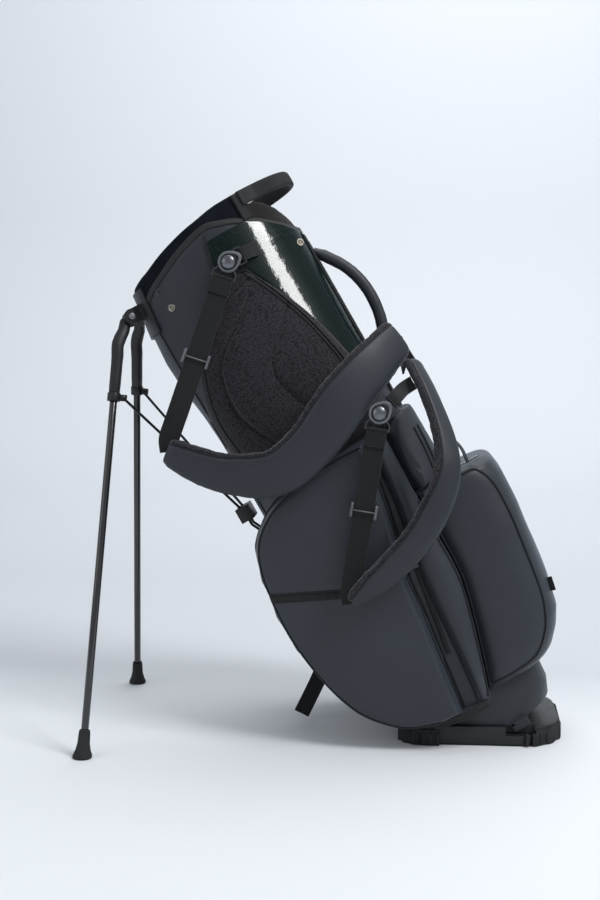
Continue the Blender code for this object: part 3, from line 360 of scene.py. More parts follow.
def ribbon(name, path, faces_to, width, thick, look, replaces=(), slot="webbing"):
    rings = swept(path, faces_to, strap_profile(width, thick))
    return lofted(name, rings, look, replaces=replaces, slot=slot)


def flat_panel(name, outer, inner, look, replaces=(), slot=None):
    """A closed piece between two grids of points of the same rows and columns."""
    rows, columns = len(outer), len(outer[0])
    points = [point for grid in (outer, inner) for row in grid for point in row]
    back = rows * columns
    faces = []
    for r in range(rows - 1):
        for c in range(columns - 1):
            a = r * columns + c
            faces.append((a, a + 1, a + columns + 1, a + columns))
            faces.append((back + a, back + a + columns, back + a + columns + 1, back + a + 1))
    rim = [(0, c) for c in range(columns)]
    rim += [(r, columns - 1) for r in range(1, rows)]
    rim += [(rows - 1, c) for c in range(columns - 2, -1, -1)]
    rim += [(r, 0) for r in range(rows - 2, 0, -1)]
    edge = [r * columns + c for r, c in rim]
    for i, a in enumerate(edge):
        b = edge[(i + 1) % len(edge)]
        faces.append((a, b, back + b, back + a))
    return piece(name, points, faces, look, replaces=replaces, slot=slot)


def soft_panel(name, levels, columns, place, node, look="pocket", slot=COATED):
    """A closed panel. place(level, t) gives its outer and its inner point."""
    grid = [[place(level, t) for t in columns] for level in levels]
    outer, inner = ([[pair[side] for pair in row] for row in grid] for side in (0, 1))
    return flat_panel(name, outer, inner, look, [node], slot)


def on_body(name, rows, low, height, columns, levels, look, node, slot):
    """A panel on the body between two edges, given as (w, u, u). height(s, t, u, w) is its thickness."""

    def place(level, s):
        j, (w, low_u, high_u) = level
        u = low_u + (high_u - low_u) * s
        angle = angle_at(u, w)
        return skin(angle, w, low + height(s, j / (levels - 1), u, w)), skin(angle, w, low)

    return soft_panel(name, enumerate(smooth(rows, levels)), spread(0, 1, columns), place, node, look, slot)


def rim_of(rows):
    """The closed outline, as fine (u, w) points, of a panel given as (w, u, u) rows."""
    fine = smooth(rows, 120)
    left = [(low, w) for w, low, _ in fine]
    right = [(high, w) for w, _, high in fine]
    ends = []
    for w, low, high in (fine[0], fine[-1]):
        ends.append([(u, w) for u in np.arange(min(low, high), max(low, high), 0.002)])
    return np.array(left + right + ends[0] + ends[1])


def fillet(distance, radius):
    """0 at an edge, rising along a quarter circle to 1 at the radius."""
    return math.sqrt(max(0.0, 1 - (1 - min(distance / radius, 1)) ** 2))


def crowded(count):
    """0 to 1 in steps that are finer near both ends."""
    turns = spread(0, math.pi, count)
    return [0.5 - 0.5 * math.cos(turn) * (1 - 0.25 * math.sin(turn)) for turn in turns]


def rolled(t, power):
    """0 at both ends of 0 to 1 and nearly 1 between, for an edge that rolls down."""
    return max(0.0, 1 - abs(2 * t - 1) ** power) ** 0.5


# ---- softness -----------------------------------------------------------------------------


def modify(obj, kind, **settings):
    step = obj.modifiers.new(kind.lower(), kind)
    for name, value in settings.items():
        setattr(step, name, value)


def apply_modifiers(obj):
    graph = bpy.context.evaluated_depsgraph_get()
    result = bpy.data.meshes.new_from_object(obj.evaluated_get(graph))
    obj.modifiers.clear()
    obj.data = result


def swell(obj, cap, pressure=4.0, stiffness=15.0):
    """Fills the piece like a stuffed cover. No point moves further than the cap."""
    rest = np.array([vertex.co for vertex in obj.data.vertices])
    cloth = obj.modifiers.new("cloth", "CLOTH")
    cloth.settings.use_pressure = True
    cloth.settings.uniform_pressure_force = pressure
    cloth.settings.tension_stiffness = stiffness
    cloth.settings.compression_stiffness = stiffness
    cloth.settings.effector_weights.gravity = 0
    for number in range(1, 21):
        bpy.context.scene.frame_set(number)
    graph = bpy.context.evaluated_depsgraph_get()
    swollen = np.array([vertex.co for vertex in obj.evaluated_get(graph).data.vertices])
    obj.modifiers.clear()
    moved = swollen - rest
    far = np.linalg.norm(moved, axis=1, keepdims=True)
    moved *= np.minimum(1, cap / np.maximum(far, 1e-9))
    obj.data.vertices.foreach_set("co", (rest + moved).ravel())
    obj.data.update()
    bpy.context.scene.frame_set(1)


def refine(obj):
    modify(obj, "SUBSURF", levels=1, render_levels=1)
    apply_modifiers(obj)
    obj.data.shade_smooth()


def crease(obj, lines, depth, width):
    """Presses sewn lines, given in the bag's frame, into a soft piece."""
    samples = [BAG @ point for line in lines for point in line]
    tree = KDTree(len(samples))
    for i, point in enumerate(samples):
        tree.insert(point, i)
    tree.balance()

    def press(place):
        distance = tree.find(place)[2]
        return -depth * math.exp(-((distance / width) ** 2)) if distance < 3 * width else 0

    push(obj, press)


def ripple(obj, size, amount, seed):
    """Slow unevenness of filled cloth."""
    shift = Vector((seed, 2 * seed, -seed))
    push(obj, lambda place: amount * noise.noise(place / size + shift))


def push(obj, far):
    """Moves each point along its normal, as far as far(its place) says."""
    moves = [vertex.normal * far(vertex.co) for vertex in obj.data.vertices]
    for vertex, move in zip(obj.data.vertices, moves):
        vertex.co += move
    obj.data.update()


# ---- materials ----------------------------------------------------------------------------


class Look:
    """A Principled material being built, with textures in metres along the bag's own axes."""

    def __init__(self, name, colour, roughness, metallic=0.0, lengthwise=False, gloss=0.5, **sockets):
        self.made = bpy.data.materials.new(name)
        self.made.use_nodes = True
        self.tree = self.made.node_tree
        self.shader = self.tree.nodes["Principled BSDF"]
        sockets |= {"Base Color": (*colour, 1), "Roughness": roughness, "Metallic": metallic}
        sockets["Specular IOR Level"] = gloss
        for socket, value in sockets.items():
            self.shader.inputs[socket.replace("_", " ")].default_value = value
        place = self.add("ShaderNodeTexCoord", {}).outputs["UV" if lengthwise else "Object"]
        turn = {"Vector": place, "Rotation": (0, 0 if lengthwise else LEAN, 0)}
        self.place = self.add("ShaderNodeMapping", turn).outputs["Vector"]

    def add(self, kind, inputs, **settings):
        """A node with its settings, and with each input set to a value or joined to an output."""
        node = self.tree.nodes.new(kind)
        for name, value in settings.items():
            setattr(node, name, value)
        for socket, value in inputs.items():
            if isinstance(value, bpy.types.NodeSocket):
                self.tree.links.new(value, node.inputs[socket])
            else:
                node.inputs[socket].default_value = value
        return node

    def scaled(self, stretch):
        return self.add("ShaderNodeMapping", {"Scale": stretch, "Vector": self.place}).outputs["Vector"]

    def clouds(self, scale, detail=3.0):
        inputs = {"Scale": scale, "Detail": detail, "Vector": self.place}
        return self.add("ShaderNodeTexNoise", inputs).outputs["Fac"]

    def patches(self, colour, scale, detail, dark, light, low=0.3, high=0.7):
        """Cloudy patches of the colour, between a darker and a lighter shade."""
        self.colour(self.clouds(scale, detail), shade(colour, dark), shade(colour, light), low, high)

    def uneven(self, scale, detail, low, high):
        """Roughness that wanders between two values."""
        self.roughness(self.clouds(scale, detail), low, high)

    def grain(self, scale, detail, depth):
        self.bump(self.clouds(scale, detail), depth)

    def cells(self, stretch, disorder=1.0):
        """Distance from the middle of each small cell: a pebbled grain or an open mesh."""
        inputs = {"Scale": 1.0, "Randomness": disorder, "Vector": self.scaled(stretch)}
        return self.add("ShaderNodeTexVoronoi", inputs).outputs["Distance"]

    def bands(self, stretch, direction="X"):
        inputs = {"Scale": 1.0, "Vector": self.scaled(stretch)}
        return self.add("ShaderNodeTexWave", inputs, bands_direction=direction).outputs["Fac"]

    def sum(self, first, second, operation="MULTIPLY"):
        return self.add("ShaderNodeMath", {0: first, 1: second}, operation=operation).outputs["Value"]

    def colour(self, factor, dark, light, low=0.0, high=1.0):
        ramp = self.add("ShaderNodeValToRGB", {"Fac": factor})
        for end, position, colour in zip(ramp.color_ramp.elements, (low, high), (dark, light)):
            end.position = position
            end.color = (*colour, 1)
        self.tree.links.new(ramp.outputs["Color"], self.shader.inputs["Base Color"])

    def roughness(self, factor, low, high):
        node = self.add("ShaderNodeMapRange", {"To Min": low, "To Max": high, "Value": factor})
        self.tree.links.new(node.outputs["Result"], self.shader.inputs["Roughness"])

    def bump(self, height, distance, socket="Normal"):
        """Adds a relief of that depth on top of the earlier ones."""
        node = self.add("ShaderNodeBump", {"Distance": distance, "Height": height})
        socket = self.shader.inputs[socket]
        if socket.is_linked:
            self.tree.links.new(socket.links[0].from_socket, node.inputs["Normal"])
        self.tree.links.new(node.outputs["Normal"], socket)


def shade(colour, factor):
    return tuple(channel * factor for channel in colour)


def leatherette(name="leatherette", colour=(0.0128, 0.016, 0.0222), roughness=0.5, folds=0.0):
    """Soft-touch coated fabric with a fine pebble grain."""
    sheen = {"Sheen_Weight": 0.12, "Sheen_Roughness": 0.45, "Sheen_Tint": (0.65, 0.8, 1.0, 1)}
    look = Look(name, colour, roughness, gloss=0.42, **sheen)
    look.patches(colour, 9.0, 5.0, 0.88, 1.14)
    look.uneven(60.0, 4.0, roughness - 0.07, roughness + 0.07)
    look.bump(look.cells((1250, 1250, 1250)), 0.00007)
    look.grain(240.0, 4.0, 0.0001)
    if folds:
        look.grain(34.0, 5.0, folds)
    return look.made


def air_mesh():
    """Knitted spacer mesh: rows of small open cells over a darker ground."""
    look = Look("air_mesh", (0.02, 0.018, 0.02), 0.86, gloss=0.2, Sheen_Weight=0.22, Sheen_Roughness=0.5)
    holes = look.cells((300, 300, 520), 0.8)
    look.colour(holes, (0.029, 0.028, 0.036), (0.005, 0.0046, 0.0064), 0.25, 0.75)
    look.bump(holes, -0.0009)
    look.grain(700.0, 3.0, 0.00015)
    return look.made


def webbing():
    """Tightly woven tape: fine ribs across it and a herringbone of floats along it."""
    look = Look("webbing", (0.012, 0.0125, 0.0135), 0.78, lengthwise=True, gloss=0.2, Sheen_Weight=0.15)
    ribs = look.bands((0, 520, 0), "Y")
    floats = look.bands((420, 210, 0), "DIAGONAL")
    weave = look.sum(ribs, floats)
    look.colour(weave, (0.0058, 0.0062, 0.007), (0.0165, 0.0178, 0.0192), 0.1, 0.9)
    look.bump(weave, 0.00022)
    look.grain(800.0, 3.0, 0.00008)
    return look.made


def cuff_cloth():
    """Navy-black brushed cloth."""
    colour = (0.0052, 0.0066, 0.0102)
    sheen = {"Sheen_Weight": 0.05, "Sheen_Roughness": 0.35, "Sheen_Tint": (0.6, 0.7, 1.0, 1)}
    look = Look("cuff_cloth", colour, 0.9, gloss=0.08, **sheen)
    look.patches(colour, 30.0, 5.0, 0.75, 1.3)
    look.grain(1500.0, 4.0, 0.00016)
    return look.made


def lining():
    """Thin plain-woven nylon, brown-black."""
    colour = (0.0085, 0.0074, 0.0072)
    look = Look("lining", colour, 0.74, gloss=0.2, Sheen_Weight=0.08)
    weave = look.sum(look.bands((900, 0, 0)), look.bands((0, 0, 900), "Z"), "MAXIMUM")
    look.patches(colour, 25.0, 4.0, 0.7, 1.25)
    look.bump(weave, 0.0001)
    look.grain(35.0, 3.0, 0.0012)
    return look.made


def satin_tape(name="satin_tape", colour=(0.011, 0.0125, 0.0155), roughness=0.42):
    """Folded binding tape over a cord: fine diagonal weave with a low sheen."""
    look = Look(name, colour, roughness, lengthwise=True, gloss=0.25, Sheen_Weight=0.08)
    weave = look.bands((700, 700, 0), "DIAGONAL")
    look.colour(weave, shade(colour, 0.8), shade(colour, 1.2))
    look.roughness(look.clouds(120.0), roughness - 0.06, roughness + 0.08)
    look.bump(weave, 0.00008)
    return look.made


def moulding(name="moulding", colour=(0.013, 0.0142, 0.0162), roughness=0.42, grain=0.00006):
    """Spark-eroded moulded plastic, a little polished and dusty in patches."""
    look = Look(name, colour, roughness, gloss=0.35)
    look.patches(colour, 22.0, 6.0, 0.82, 1.22, high=0.72)
    look.uneven(75.0, 5.0, roughness - 0.09, roughness + 0.12)
    look.grain(1900.0, 2.0, grain)
    return look.made


def rubber():
    look = Look("rubber", (0.013, 0.0135, 0.0145), 0.66, gloss=0.35)
    look.colour(look.clouds(40.0, 6.0), (0.01, 0.0105, 0.011), (0.021, 0.0215, 0.0225), 0.35, 0.75)
    look.uneven(90.0, 5.0, 0.64, 0.84)
    look.grain(1300.0, 3.0, 0.00009)
    return look.made


def carbon_film():
    """Clear-coated film over a dark green-teal twill of fibre tows."""
    look = Look("carbon_film", (0.003, 0.01, 0.01), 0.4, gloss=0.03, Coat_Weight=0.3, Coat_Roughness=0.075)
    tows = look.bands((85, 0, 16), "X")
    ribs = look.bands((0, 0, 300), "Z")
    twill = look.sum(tows, ribs, "MULTIPLY")
    look.colour(look.sum(tows, twill, "ADD"), (0.0003, 0.0007, 0.0009), (0.0024, 0.0135, 0.0128), 0.35, 1.7)
    look.bump(tows, 0.00004)
    look.bump(look.clouds(52.0, 5.0), 0.0006, "Coat Normal")
    return look.made


def leg_paint():
    """Gloss black paint on the tubes, with faint orange peel and rubbed patches."""
    look = Look("leg_paint", (0.007, 0.0075, 0.0085), 0.2, 0.1, Coat_Weight=0.7, Coat_Roughness=0.06)
    look.uneven(45.0, 6.0, 0.14, 0.34)
    look.colour(look.clouds(30.0, 4.0), (0.005, 0.0055, 0.0065), (0.012, 0.0125, 0.0135), 0.3, 0.8)
    look.grain(500.0, 2.0, 0.00002)
    return look.made


def metal(name, colour, roughness, scratch):
    look = Look(name, colour, roughness, 1.0)
    look.patches(colour, 130.0, 5.0, 0.78, 1.12)
    look.uneven(420.0, 6.0, roughness - 0.08, roughness + 0.12)
    look.grain(1600.0, 3.0, scratch)
    return look.made


def thread():
    look = Look("thread", (0.02, 0.0215, 0.024), 0.6, lengthwise=True, Sheen_Weight=0.2)
    twist = look.bands((1600, 1600, 0), "DIAGONAL")
    look.colour(twist, (0.013, 0.014, 0.016), (0.03, 0.032, 0.035))
    look.bump(twist, 0.0001)
    return look.made


def make_looks():
    return {
        "leatherette": leatherette(),
        # Painted light: the pockets wear a lighter copy of the cover's coated fabric, for the light that
        # falls on them.
        "pocket": leatherette("pocket_leatherette", (0.018, 0.0218, 0.0288), 0.48),
        "cup": leatherette("cup_leatherette", (0.012, 0.0145, 0.019), 0.52, folds=0.0022),
        "air_mesh": air_mesh(),
        "webbing": webbing(),
        "cuff": cuff_cloth(),
        "lining": lining(),
        "piping": satin_tape("piping_tape", (0.0065, 0.0072, 0.0095), 0.4),
        "band": satin_tape("collar_band", (0.0165, 0.017, 0.019), 0.5),
        "slot": satin_tape("slot_binding", (0.0075, 0.0077, 0.0086), 0.62),
        "moulding": moulding(),
        "fitting": moulding("fitting_plastic", (0.03, 0.032, 0.036), 0.34, 0.00004),
        "grey_plastic": moulding("grey_plastic", (0.105, 0.11, 0.12), 0.36, 0.00004),
        "rubber": rubber(),
        "carbon": carbon_film(),
        "leg_paint": leg_paint(),
        "rod_steel": metal("rod_steel", (0.03, 0.031, 0.034), 0.34, 0.00002),
        "grey_metal": metal("grey_metal", (0.27, 0.28, 0.3), 0.36, 0.00002),
        "dome": metal("dome_metal", (0.17, 0.175, 0.19), 0.3, 0.00001),
        "silver": metal("silver_metal", (0.72, 0.7, 0.66), 0.28, 0.00002),
        "snap": metal("snap_metal", (0.27, 0.25, 0.21), 0.34, 0.00002),
        "thread": thread(),
    }


LOOKS = make_looks()

# ---- body cover, collar and inside --------------------------------------------------------

# The line along which the cover is sewn to the cuff, as (u, w).
COLLAR_LINE = [(-0.15, 0.812), (-0.125, 0.827), (-0.097, 0.844), (-0.038, 0.868), (0.000, 0.879)]
COLLAR_LINE += [(0.023, 0.882), (0.058, 0.87), (0.091, 0.852), (0.118, 0.83), (0.15, 0.8)]
WING_END = math.radians(51.5)  # the cuff's raised wings stop this far from the spine


def collar_line(angle):
    u = skin(angle, 0.84)[0]
    return np.interp(u, [place[0] for place in COLLAR_LINE], [place[1] for place in COLLAR_LINE])


def rim_height(angle):
    """The collar's CAD rim height at an angle."""
    turn = abs(math.degrees(math.remainder(angle, 2 * math.pi)))
    return np.interp(turn, COLLAR_RIM[:, 0], COLLAR_RIM[:, 1])


def read_rim():
    """(degrees from the spine, height) of the CAD collar's highest points, all round."""
    tops = [place for place in node_points("top_collar") if place[2] > SHELL_TOP + 0.01]
    return np.array(sorted((abs(math.degrees(angle_of(u, v))), w) for u, v, w in tops))


def angle_of(u, v, w=0.88):
    """The superellipse angle of a point near the body's surface."""
    half_u, half_v = reach(w, u < 0)
    c = math.copysign(min(abs(u) / half_u, 1) ** (OVAL / 2), u)
    s = math.copysign(min(abs(v) / half_v, 1) ** (OVAL / 2), v)
    return math.atan2(s, c)


COLLAR_RIM = read_rim()


def cover():
    """The coated fabric drawn over the shell, sewn to the cuff at the top."""
    levels = 70
    angles = full_turn(132)
    outer = []
    for j in range(levels):
        t = j / (levels - 1)
        ring = []
        for angle in angles:
            w = CUP_TOP + 0.0006 + (collar_line(angle) - CUP_TOP - 0.0006) * t
            slack = 0.0007 * noise.noise(Vector((3 * math.cos(angle), 3 * math.sin(angle), 9 * w)))
            ring.append(skin(angle, w, COVER + slack * fillet(0.5 - abs(t - 0.5), 0.1)))
        outer.append(ring)
    inner = []
    for ring in reversed(outer):
        inner.append([skin(angle, point.z, -0.0002) for angle, point in zip(angles, ring)])
    return lofted("body_cover", outer + inner, "leatherette", closed=True, slot=COATED)


def inner_lining():
    """The tube's inside, which shows through the mouth."""
    angles = full_turn(96)
    heights = spread(CUP_TOP - 0.012, SHELL_TOP + 0.004, 40)
    wall = [[skin(angle, w, -0.0012) for angle in angles] for w in heights]
    face = [[skin(angle, w, -0.003) for angle in angles] for w in reversed(heights)]
    lofted("tube_lining", wall + face, "lining", closed=True, replaces=["tube_shell"], slot="lining")


def cuff():
    """The padded collar: brushed cloth outside, rolled over the rim, with wings that end at the handle."""
    angles = full_turn(180)
    steps = [(0.0, CUFF), (0.35, CUFF + 0.0006), (0.7, CUFF + 0.0006), (0.9, CUFF), (0.97, -0.0006)]
    steps += [(1.0, -0.0024), (0.975, -0.0044), (0.9, -0.0054), (0.5, -0.0056), (0.0, -0.0056)]
    rings = []
    for rise, offset in steps:
        ring = []
        for angle in angles:
            turn = abs(math.remainder(angle, 2 * math.pi))
            recess = -0.0022 if turn < WING_END and offset > -0.003 else 0
            base = SHELL_TOP + 0.0012
            w = base + (rim_height(angle) - base) * rise
            ring.append(skin(angle, w, offset + recess))
        rings.append(ring)
    made = lofted("cuff", rings, ["cuff", "lining"], closed=True, replaces=["top_collar"])
    for polygon in made.data.polygons:
        middle = TO_BAG @ polygon.center
        recessed = abs(angle_of(middle.x, middle.y)) < WING_END
        inside = abs(middle.y) < skin_depth(middle.x, middle.z) - 0.003
        polygon.material_index = 1 if recessed or inside else 0


def skin_depth(u, w):
    half_u, half_v = reach(w, u < 0)
    inside = 1 - abs(u / half_u) ** OVAL
    return half_v * inside ** (1 / OVAL) if inside > 0 else 0.0


def collar_band():
    """The satin band that covers the seam between the cover and the cuff, all round."""
    line, outs = [], []
    for angle in full_turn(150):
        line.append(skin(angle, collar_line(angle) + 0.001, COVER + 0.0002))
        outs.append(Vector((line[-1].x, line[-1].y, 0)).normalized())
    rings = []
    for i, point in enumerate(line):
        out, wide = across(heading(line, i, closed=True), outs[i])
        oval = [(0.0046 * math.cos(t), 0.0013 * math.sin(t)) for t in full_turn(10)]
        rings.append([point + wide * x + out * y for x, y in oval])
    lofted("collar_band", rings, "band", closed=True)
    thread_line = Build()
    for shift in (0.004, -0.0026):
        lifted = [point + out * 0.0008 + Vector((0, 0, shift)) for point, out in zip(line, outs)]
        thread_line.stitches(lifted + lifted[:1], outs)
    thread_line.make("collar_stitches", "thread")


def wing_bindings():
    """The moulded strip down the end of each raised wing of the cuff, under the handle's root."""
    for side_name, side in SIDES.items():
        angle = side * math.radians(56.5)
        path = [skin(angle, w, CUFF + 0.0016) for w in spread(collar_line(angle) + 0.004, 0.9045, 20)]
        out = Vector((path[0].x, path[0].y, 0))
        ribbon(f"wing_binding_{side_name}", path, out, 0.0165, 0.0036, "slot")


def lift_handle():
    """The moulded band round the spine side of the mouth, ribbed for grip on its outside."""
    points = node_points("lift_handle")
    middle_w = (points[:, 2].min() + points[:, 2].max()) / 2
    half_height = (points[:, 2].max() - points[:, 2].min()) / 2
    reach_out = points[:, 0].max() - skin(0, 0.8)[0] - 0.004
    turn = math.radians(55)
    steps, around = 280, 28
    rings = []
    for i in range(steps + 1):
        t = 2 * i / steps - 1
        rise = math.cos(t * math.pi / 2) ** 1.5
        middle = skin(turn * t, 0.8, 0.0046 + (reach_out - 0.0046) * rise)
        middle.z = middle_w
        outward = Vector((middle.x, middle.y, 0)).normalized()
        grip = fillet(max(0.0, 0.8 - abs(t)), 0.06)
        rib = 0.002 * grip * (1 if i % 4 < 2 else 0)
        ring = []
        for k in range(around):
            x, y = superellipse(0.004, half_height, 2 * math.pi * (k + 0.5) / around, 4.0)
            raised = rib * fillet(half_height - abs(y), 0.004) if x > 0 else 0
            ring.append(middle + outward * (x * 0.92 + raised - 0.0008) + Vector((0, 0, y)))
        rings.append(ring)
    # Painted shade: the faces in the grooves between the ribs take the darker slot look.
    looks = ["rubber", "slot"]
    made = lofted("lift_handle_ribbed", rings, looks, replaces=["lift_handle"], slot="moulding")
    for polygon in made.data.polygons:
        step = polygon.index // around
        if step % 4 == 2 and 30 < step < steps - 30:
            polygon.material_index = 1


RIB_PITCH = 0.0105


def tread_ribs():
    """Upright grip ribs on the rubber round the plate's four corners, in the world's frame."""
    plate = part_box("foot_plate")
    low, high = Vector(plate[0]), Vector(plate[1])
    sole_low, sole_high = (Vector(corner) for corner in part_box("foot_sole"))
    build = Build()
    places = []
    for i in range(6):
        places += [low.x + 0.004 + RIB_PITCH * i, high.x - RIB_PITCH * i]
    for side in SIDES.values():
        edge = sole_high.y if side > 0 else sole_low.y
        for x in places:
            foot = Vector((x, edge - side * corner_cut(x, low.x, high.x), 0))
            rib_box(build, foot, side, sole_high.z - 0.0045)
    build.make("tread_ribs", "rubber", "foot_plate", slot="rubber")


def corner_cut(x, low, high):
    """How far the sole's edge falls back from its widest near a rounded corner."""
    radius_low, radius_high = 0.044, 0.08
    if x < low + radius_low - 0.005:
        return radius_low - math.sqrt(max(0.0, radius_low**2 - (low - 0.005 + radius_low - x) ** 2))
    if x > high + 0.005 - radius_high:
        return radius_high - math.sqrt(max(0.0, radius_high**2 - (x - high - 0.005 + radius_high) ** 2))
    return 0.0


def rib_box(build, foot, side, height):
    shape = [(-0.0026, 0.0005), (-0.002, 0.0022), (0.002, 0.0022), (0.0026, 0.0005), (0.0026, -0.004)]
    shape.append((-0.0026, -0.004))
    rings = []
    for z, shrink in ((0.0015, 0.8), (0.0035, 1), (height - 0.002, 1), (height, 0.8)):
        ring = [foot + Vector((x * shrink, side * y * shrink, z)) for x, y in shape]
        rings.append([TO_BAG @ point for point in ring])
    build.loft(rings)


def divider_sheets():
    """Three hanging sheets that part the clubs, slightly slack between the bar and the base."""
    for node, axis, taper in (("long", 0, 0.18), ("near", 1, 0.15), ("far", 1, 0.15)):
        node = f"divider_sheet_{node}"
        points = node_points(node)
        low, high = Vector(points.min(0)), Vector(points.max(0))
        grid = []
        for j, w in enumerate(spread(low.z, high.z, 46)):
            narrow = 1 - taper * (1 - j / 45)
            row = []
            for s in spread(0, 1, 20):
                hold = rolled(j / 45, 2) * rolled(0.02 + 0.96 * s, 2)
                sway = 0.004 * hold * noise.noise(Vector((6 * s, 0.5, 7 * w)))
                point = Vector((sway, sway, w))
                point[axis] = (low[axis] + (high[axis] - low[axis]) * s) * narrow
                row.append(point)
            grid.append(row)
        thick = Vector((0.0005 * axis, 0.0005 * (1 - axis), 0))
        front = [[point + thick for point in row] for row in grid]
        back = [[point - thick for point in row] for row in grid]
        made = flat_panel(node + "_cloth", front, back, "lining", [node], "lining")


def mouth_divider():
    """The padded bars across the mouth: the CAD solid in an even mesh with its edges rounded."""
    made = bpy.data.objects.new("top_divider_pad", frame["nodes"]["top_divider"].data.copy())
    bpy.context.scene.collection.objects.link(made)
    made.data.materials.clear()
    made.data.materials.append(LOOKS["air_mesh"])
    modify(made, "WELD", merge_threshold=0.00001)
    modify(made, "REMESH", mode="VOXEL", voxel_size=0.0026)
    modify(made, "SMOOTH", factor=0.5, iterations=4)
    apply_modifiers(made)
    made.data.shade_smooth()
    settle(made, "bag", ["top_divider"], "air_mesh")
    swell(made, 0.0012)


# ---- panels and piping on the upper body --------------------------------------------------

CHANNELS = [
    [(0.027, 0.762), (-0.01, 0.733), (-0.042, 0.711), (-0.063, 0.684), (-0.072, 0.646), (-0.071, 0.61)],
    [(0.066, 0.722), (0.033, 0.69), (0.009, 0.661), (0.003, 0.633), (0.01, 0.6), (0.023, 0.572)],
]
CHANNELS[0] += [(-0.056, 0.572), (-0.036, 0.54)]
CHANNELS[1] += [(0.042, 0.54)]
CHANNELS.append([(0.036, 0.784), (0.015, 0.779), (-0.004, 0.771), (-0.022, 0.759), (-0.052, 0.738)])


def line_distance(line, u, w):
    """How far a place is from a fine line of (u, w) points."""
    offsets = line - np.array([u, w])
    return math.sqrt((offsets**2).sum(axis=1).min())


def hip_pad():
    """Spacer-mesh padding with two embossed channels, crowned between its seams."""
    channels = []
    for outline in CHANNELS:
        fine = smooth([(u, 0, w) for u, w in outline], 160)
        channels.append(np.array([(point.x, point.z) for point in fine]))

    def height(s, t, u, w):
        full = 0.003 + 0.0072 * rolled(0.01 + 0.98 * s, 6) * rolled(0.01 + 0.98 * t, 9)
        groove = sum(math.exp(-((line_distance(line, u, w) / 0.0034) ** 2)) for line in channels)
        hollow = sum(math.exp(-((line_distance(line, u, w) / 0.012) ** 2)) for line in channels)
        return full - 0.0038 * min(groove, 1) - 0.0018 * min(hollow, 1)

    rows, low = rows_of("hip_pad"), COVER + 0.0006
    made = on_body("hip_pad_mesh", rows, low, height, 110, 130, "air_mesh", "hip_pad", "air_mesh")
    return made


def carbon_panel():
    """The clear-coated film, a little slack over the body and creased where it turns under the cuff."""

    def height(s, t, u, w):
        sag = 0.0009 * noise.noise(Vector((18 * u, 4.0, 11 * w)))
        creased = math.exp(-(((u - 0.018) / 0.024) ** 2) - ((w - 0.852) / 0.02) ** 2)
        creased += 0.6 * math.exp(-(((u - 0.116) / 0.016) ** 2) - ((w - 0.822) / 0.016) ** 2)
        crease = 0.0016 * creased * (noise.noise(Vector((150 * u, 1.0, 130 * w))) + 0.4)
        return 0.0006 + 0.0012 * rolled(0.02 + 0.96 * s, 30) + sag + crease

    name, node = "carbon_film_panel", "carbon_panel"
    return on_body(name, rows_of(node), COVER, height, 110, 170, "carbon", node, "carbon_film")


def upper_piping(surface):
    """Double piping between the hip pad and the film, and the cover's long seams."""
    build = Build()
    double = [(0.03, 0.806), (0.036, 0.801), (0.057, 0.761), (0.075, 0.716), (0.086, 0.68)]
    double += [(0.095, 0.639), (0.099, 0.612), (0.101, 0.56), (0.094, 0.51)]
    for shift in (-0.002, 0.0026):
        build.pipe(surface, moved(double, shift), 90, PIPING * 0.9)
    left = [(0.03, 0.806), (-0.01, 0.78), (-0.06, 0.742), (-0.092, 0.692), (-0.11, 0.63)]
    left += [(-0.108, 0.575), (-0.1, 0.54), (-0.08, 0.5)]
    build.pipe(surface, left, 90, PIPING * 0.7)
    long_seam = [(-0.124, w) for w in (0.806, 0.76, 0.7, 0.6, 0.52, 0.46)]
    build.pipe(surface, long_seam, 80, PIPING * 0.8, lift=LIE * 0.6)
    film_edge = [(0.014, 0.873), (0.004, 0.85), (0.000, 0.826), (0.014, 0.812), (0.032, 0.806)]
    build.pipe(surface, film_edge, 40, PIPING * 0.7)
    for side in SIDES.values():
        angle = side * math.radians(9.5)
        build.tube([skin(angle, w, COVER + 0.0022) for w in spread(0.42, 0.812, 60)], PIPING * 0.9)
    build.make("upper_piping", "piping")


def upper_stitches(surface):
    build = Build()
    seams = [
        [(-0.119, w) for w in (0.8, 0.7, 0.6, 0.48)],
        [(0.024, 0.8), (0.049, 0.757), (0.068, 0.714), (0.079, 0.678), (0.088, 0.637), (0.092, 0.6)],
        [(-0.004, 0.788), (-0.058, 0.75), (-0.097, 0.694), (-0.116, 0.63), (-0.114, 0.57)],
    ]
    for seam in seams:
        build.sew(surface, seam, 80)
    build.make("upper_stitches", "thread")


# ---- pockets ------------------------------------------------------------------------------

# Each row is (w, u of the leg-side edge, u of the gusset-side edge).
GARMENT_ROWS = [(0.062, -0.04, -0.004), (0.076, -0.084, 0.000), (0.1, -0.116, 0.003), (0.141, -0.147, 0.009)]
GARMENT_ROWS += [(0.2, -0.168, 0.018), (0.27, -0.178, 0.025), (0.33, -0.178, 0.039), (0.389, -0.17, 0.052)]
GARMENT_ROWS += [(0.43, -0.155, 0.06), (0.458, -0.13, 0.064), (0.48, -0.088, 0.068), (0.494, -0.02, 0.07)]
POCKET_BACK = 0.0885  # leaves room between the pockets for the folded legs
POCKET_FACE = 0.15  # how far out the face stands
POCKET_CROWN = 0.006  # and how much more at its middle
POCKET_RIM = 0.013  # radius of its rounded rim
# The slip pocket's opening on the face, as (u, w).
SLOT = [(-0.166, 0.361), (-0.13, 0.345), (-0.095, 0.329), (-0.056, 0.311)]

